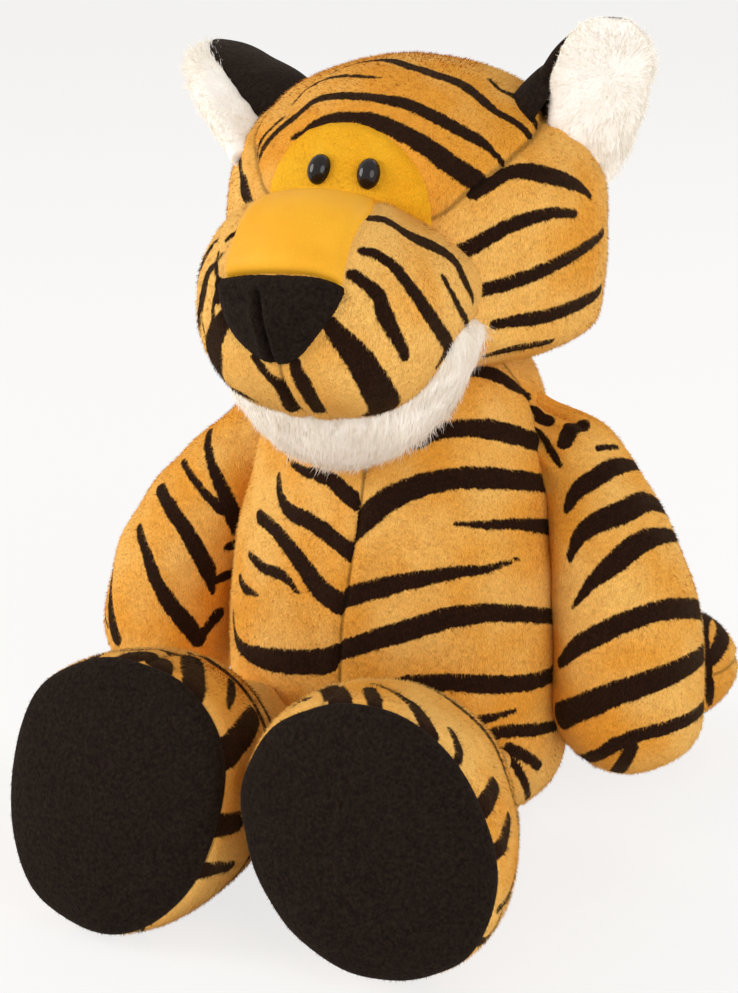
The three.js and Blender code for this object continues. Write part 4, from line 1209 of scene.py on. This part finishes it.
tail = {
    "spine": [(0, 44, 17.6), (18.9, 82.4, 21.1), (59, 106, 31.2), (118, 104.8, 41.5)], "across": (0, 0, 1),
    "width": 49, "depth": 49, "widthShares": [0.74, 0.88, 1, 0.98], "depthShares": [0.74, 0.88, 1, 0.98],
    "startRound": 8, "endRound": 23, "segments": 38, "rings": 38, "lumps": (30, 17, 0.7), "ringEnd": 2.6,
    # each band's share of the way to the tip, its half width and its slant
    "bands": [(0.16, 2.6, 0.06), (0.31, 3.3, -0.05), (0.46, 2.8, 0.07), (0.60, 3.8, -0.06), (0.86, 3.0, 0.04)],
    "stripes": [
        [(111, 92, 47, 2.6), (112, 107, 53, 4), (107, 116, 56, 4.3)],
        [(98, 114, 61, 1.2), (100, 110, 61, 2.3)],
    ],
}


def makeTail():
    piece, turn, places = addBall("tailSkin", tail)
    points = readPoints(piece)
    lines = list(tail["stripes"])
    for share, half, slant in tail["bands"]:
        ring = np.linspace(-tail["ringEnd"], tail["ringEnd"], 30)
        reach = share + slant * np.sin(ring)
        spots = formPoints(tail, ring, reach)[0]
        lines.append(np.column_stack([spots, half * (1 - 0.7 * (np.abs(ring) / tail["ringEnd"]) ** 3)]))
    offset = rightOf(tail, points, spineStep(tail, places))
    markCloth(piece, nearLines(points, lines, readNormals(piece)), 0, offset)
    pushOut(piece, seamDip(offset, 0.8) + softNoise(points, *tail["lumps"]))
    settleOnGround(piece)
    dress(piece, "striped_plush", None, "tail_top", "tail_bottom", "tail_stuffing")
    for soft in (piece, addPile(piece, "striped_plush", None, readPoints(piece)[:, 2] > pileFoot)):
        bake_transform(soft, "body", "tail", own(0, 42, 17), own(16, 66, 20))


makeTail()
print("tail made")

# Beard: a crescent under the muzzle, covered in long fur

beard = {
    "spine": [(0, 2, 218.5), (0, -40, 218.5), (0, -82, 218.5)], "across": (1, 0, 0), "width": 119, "depth": 114,
    "widthShares": [1, 1, 1], "depthShares": [1, 1, 1], "startRound": 34, "endRound": 34, "segments": 30,
    "rings": 22, "lumps": (16, 6, 0.8), "under": -1.5, "top": 240, "tuck": 0.4, "tuckHeight": 16,
    "middle": (0, -42), "pinch": 0.17, "pinchReach": (4, 46), "aside": 5, "asideHeights": (190, 222),
    # how much each side is narrowed, and between which heights
    "narrowed": [(-1, 0.14, 186, 204), (1, 0.11, 180, 206)],
    "neck": (0, 15, 0), "turns": [-25, -17, -8, 8, 17, 25, 0], "gap": 1.4,
    "strands": 27000, "hair": 5.6, "hairWide": 0.32, "lift": 0.12, "tufts": (12, 40), "stray": 0.07, "seed": 7,
}


def strandMesh(name, roots, normals, aims, lengths, wide, seed, curl=0.2):
    # one hair is a narrow tapered ribbon of three lengths, bent on its way to the tip
    random = np.random.default_rng(seed)
    count = len(roots)
    sideways = unit(np.cross(aims, normals + random.normal(size=(count, 3)) * 0.35))
    bend = random.normal(size=(count, 3)) * curl
    rows = []
    for share, thick in ((0, 1), (0.4, 0.85), (0.75, 0.5)):
        spot = roots + (aims * share + bend * share**2) * lengths[:, None]
        rows += [spot - sideways * wide * thick / 2, spot + sideways * wide * thick / 2]
    rows.append(roots + (aims + bend) * lengths[:, None])
    points = np.stack(rows, axis=1).reshape(-1, 3)
    faces = []
    for base in range(0, count * 7, 7):
        faces += [(base, base + 1, base + 3, base + 2), (base + 2, base + 3, base + 5, base + 4),
                  (base + 4, base + 5, base + 6)]
    return meshPiece(name, points, faces)


def keepOff(points, form, gap):
    # moves what lies inside a form out to its surface
    at = nearestPlace(form, points)
    centre, right, up = form["centre"][at], form["right"][at], form["up"][at]
    side, rise = ((points - centre) * right).sum(1), ((points - centre) * up).sum(1)
    halves = form["halves"][at] + gap
    inside = np.hypot(side / halves[:, 0], rise / halves[:, 1])
    push = np.where((inside < 1) & (inside > 0.05), 1 / np.maximum(inside, 0.05), 1)[:, None]
    return np.where(push > 1, centre + (right * side[:, None] + up * rise[:, None]) * push, points)


def makeBeard():
    piece = addBall("beardCloth", beard, grow=beard["under"])[0]
    points = readPoints(piece)
    tuck = beard["tuck"] * smoothStep(points[:, 2], beard["top"] - beard["tuckHeight"], beard["top"])
    points[:, :2] -= (points[:, :2] - np.array(beard["middle"])) * tuck[:, None]
    points[:, 2] = np.minimum(points[:, 2], beard["top"] + 4)
    points[:, 0] *= 1 - beard["pinch"] * smoothStep(beard["spine"][0][2] - points[:, 2], *beard["pinchReach"])
    for side, share, low, high in beard["narrowed"]:
        points[:, 0] *= 1 - share * (points[:, 0] * side > 0) * smoothStep(points[:, 2], low, high)
    points[:, 0] -= beard["aside"] * (1 - smoothStep(points[:, 2], *beard["asideHeights"]))
    # the beard lies on the chest, and clears it wherever the head is turned
    axis = np.array(beard["neck"])
    for turned in beard["turns"]:
        spin = np.array(Matrix.Rotation(math.radians(turned), 3, "Z"))
        points = keepOff((points - axis) @ spin.T + axis, torso, beard["gap"])
        points = (points - axis) @ spin + axis
    writePoints(piece, points)
    pushOut(piece, softNoise(points, *beard["lumps"]))
    dress(piece, "white_fur", "head", "chin_beard")
    below = points[:, 2] < beard["top"] - 2
    roots, normals, random = scatter(piece, beard["strands"], beard["seed"], below)[:3]
    down = roots * np.array([0.012, 0.006, 0]) + np.array([0, 0, -1.0])
    aims = combed(normals, down, beard["lift"]) + tuftNoise(roots, *beard["tufts"]) * 0.16
    aims = unit(aims + random.normal(size=roots.shape) * beard["stray"])
    lengths = beard["hair"] * random.uniform(0.6, 1.1, len(roots))
    fur = strandMesh("beardFur", roots, normals, aims, lengths, beard["hairWide"], beard["seed"])
    dressHair(fur, "white_fur", "head")


makeBeard()
print("beard made")

# Ears: a cup of dark cloth, filled with a pad of white fur that rolls over its edge

# each path is given along the ear, across it and towards its open side, from the root
ears = {
    "left": {
        "root": (59, 17, 276), "tip": (31, -8, 67), "open": (0.8, -0.5, -0.35), "lip": -2,
        "back": {"path": [(-8, 0, -16), (14, -1, -11), (42, -3, -7), (67, 12, -2)], "width": 45, "depth": 34,
                 "widthShares": [1, 1.06, 1, 0.75], "depthShares": [1.1, 1, 0.6, 0.22], "endRound": 22},
        "pad": {"path": [(-10, -17, -2), (16, -14, -2), (42, -5, -1.5), (66, 18, 0)], "width": 45, "depth": 12,
                "widthShares": [0.72, 1, 1, 0.64], "depthShares": [1, 1, 0.95, 0.65], "endRound": 24},
    },
    "right": {
        "root": (-59, 17, 276), "tip": (-48, 20, 34), "open": (-0.35, -0.05, -0.93), "lip": -2,
        "back": {"path": [(-6, 6, -8), (20, 6, -7), (44, 7, -5.5), (70, 9, -2)], "width": 44, "depth": 30,
                 "widthShares": [1, 1, 0.84, 0.5], "depthShares": [1.1, 1, 0.64, 0.32], "endRound": 20},
        "pad": {"path": [(-14, -24, -2), (10, -18, -2), (36, -9, -1.5), (69, 10, 0)], "width": 41, "depth": 13,
                "widthShares": [0.9, 1, 0.88, 0.52], "depthShares": [1, 1, 0.95, 0.65], "endRound": 22},
    },
}
earCloth = 1.1  # how thick the dark cloth is
earLumps = {"back": (24, 53, 0.5), "pad": (14, 51, 0.5)}
# shaggy hair is long and stands apart at the ear's outer edge, and the rest is short
earFur = {
    "bowl": 3.5, "strands": 14000, "hair": 6, "hairWide": 0.3, "lift": 0.07, "tufts": (10, 60), "seed": 5,
    "meshSeed": 9, "edge": (0.3, 0.55), "shortest": 0.36, "stray": 0.05, "shaggyStray": 0.13,
}


def placeForm(ear, part):
    # turns a path in the ear's own directions into a form
    root, along = Vector(ear["root"]), Vector(ear["tip"]).normalized()
    openWay = (Vector(ear["open"]) - along * Vector(ear["open"]).dot(along)).normalized()
    across = openWay.cross(along)
    ear["openWay"] = np.array(openWay)
    spine = [tuple(root + along * a + across * b + openWay * c) for a, b, c in ear[part]["path"]]
    return dict(ear[part], spine=spine, across=tuple(across), startRound=2, segments=32, rings=26)


def makeCup(name, form, ear, thick):
    piece = addBall(name, form)[0]
    deselectAll()
    bpy.context.view_layer.objects.active = piece
    piece.select_set(True)
    bpy.ops.object.mode_set(mode="EDIT")
    bpy.ops.mesh.select_all(action="SELECT")
    place = own(*(Vector(ear["root"]) + Vector(ear["openWay"]) * ear["lip"]))
    bpy.ops.mesh.bisect(plane_co=place, plane_no=ear["openWay"], clear_outer=True)
    bpy.ops.object.mode_set(mode="OBJECT")
    applyModifier(piece, "SOLIDIFY", thickness=thick * mm, offset=-1)
    return piece


def makeEar(word, ear):
    back = makeCup(f"earBack_{word}", placeForm(ear, "back"), ear, earCloth)
    pushOut(back, softNoise(readPoints(back), *earLumps["back"]))
    dress(back, "dark_velour", f"ear_{word}", f"ear_{word}_back")
    form = placeForm(ear, "pad")
    lining, turn, places = addBall(f"earLining_{word}", form)
    points = readPoints(lining)
    length = (places / form["walked"][-1] - 0.45) * 2
    rim = np.clip(np.cos(turn) ** 2 + np.abs(length) ** 3, 0, 1)
    dish = (1 - rim) * (np.sin(turn) > 0) * earFur["bowl"]
    writePoints(lining, points - np.outer(dish, ear["openWay"]))
    pushOut(lining, softNoise(points, *earLumps["pad"]))
    dress(lining, "white_fur", f"ear_{word}", f"ear_{word}_lining")
    roots, normals, random = scatter(lining, earFur["strands"], earFur["seed"] + len(word), places > 8)[:3]
    outward = roots - (form["centre"][spineSteps // 2] + np.array([0, 0, 6]))
    outward -= np.outer(outward @ ear["openWay"], ear["openWay"])
    away = np.linalg.norm(outward, axis=1)
    edgeShare = smoothStep(away / form["width"], *earFur["edge"])
    shaggyWay = np.array([1 if word == "left" else -1, 0, -0.5])
    shaggy = edgeShare * smoothStep(outward @ shaggyWay / np.maximum(away, 1), -0.5, 0.5)
    aims = combed(normals, outward / 14 + np.array([0, 0, -0.7]), earFur["lift"])
    aims += tuftNoise(roots, *earFur["tufts"]) * 0.12
    stray = earFur["stray"] + earFur["shaggyStray"] * shaggy
    aims = unit(aims + random.normal(size=roots.shape) * stray[:, None])
    shares = earFur["shortest"] + (1 - earFur["shortest"]) * shaggy
    lengths = earFur["hair"] * random.uniform(0.5, 1.15, len(roots)) * shares
    fur = strandMesh(f"earFur_{word}", roots, normals, aims, lengths, earFur["hairWide"], earFur["meshSeed"])
    dressHair(fur, "white_fur", f"ear_{word}")


for word, ear in ears.items():
    makeEar(word, ear)
print("ears made")

for word in ("left", "right"):
    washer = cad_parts[f"eye_washer_{word}"]
    for slot in washer.material_slots:
        slot.material = cloths["washer_plastic"]
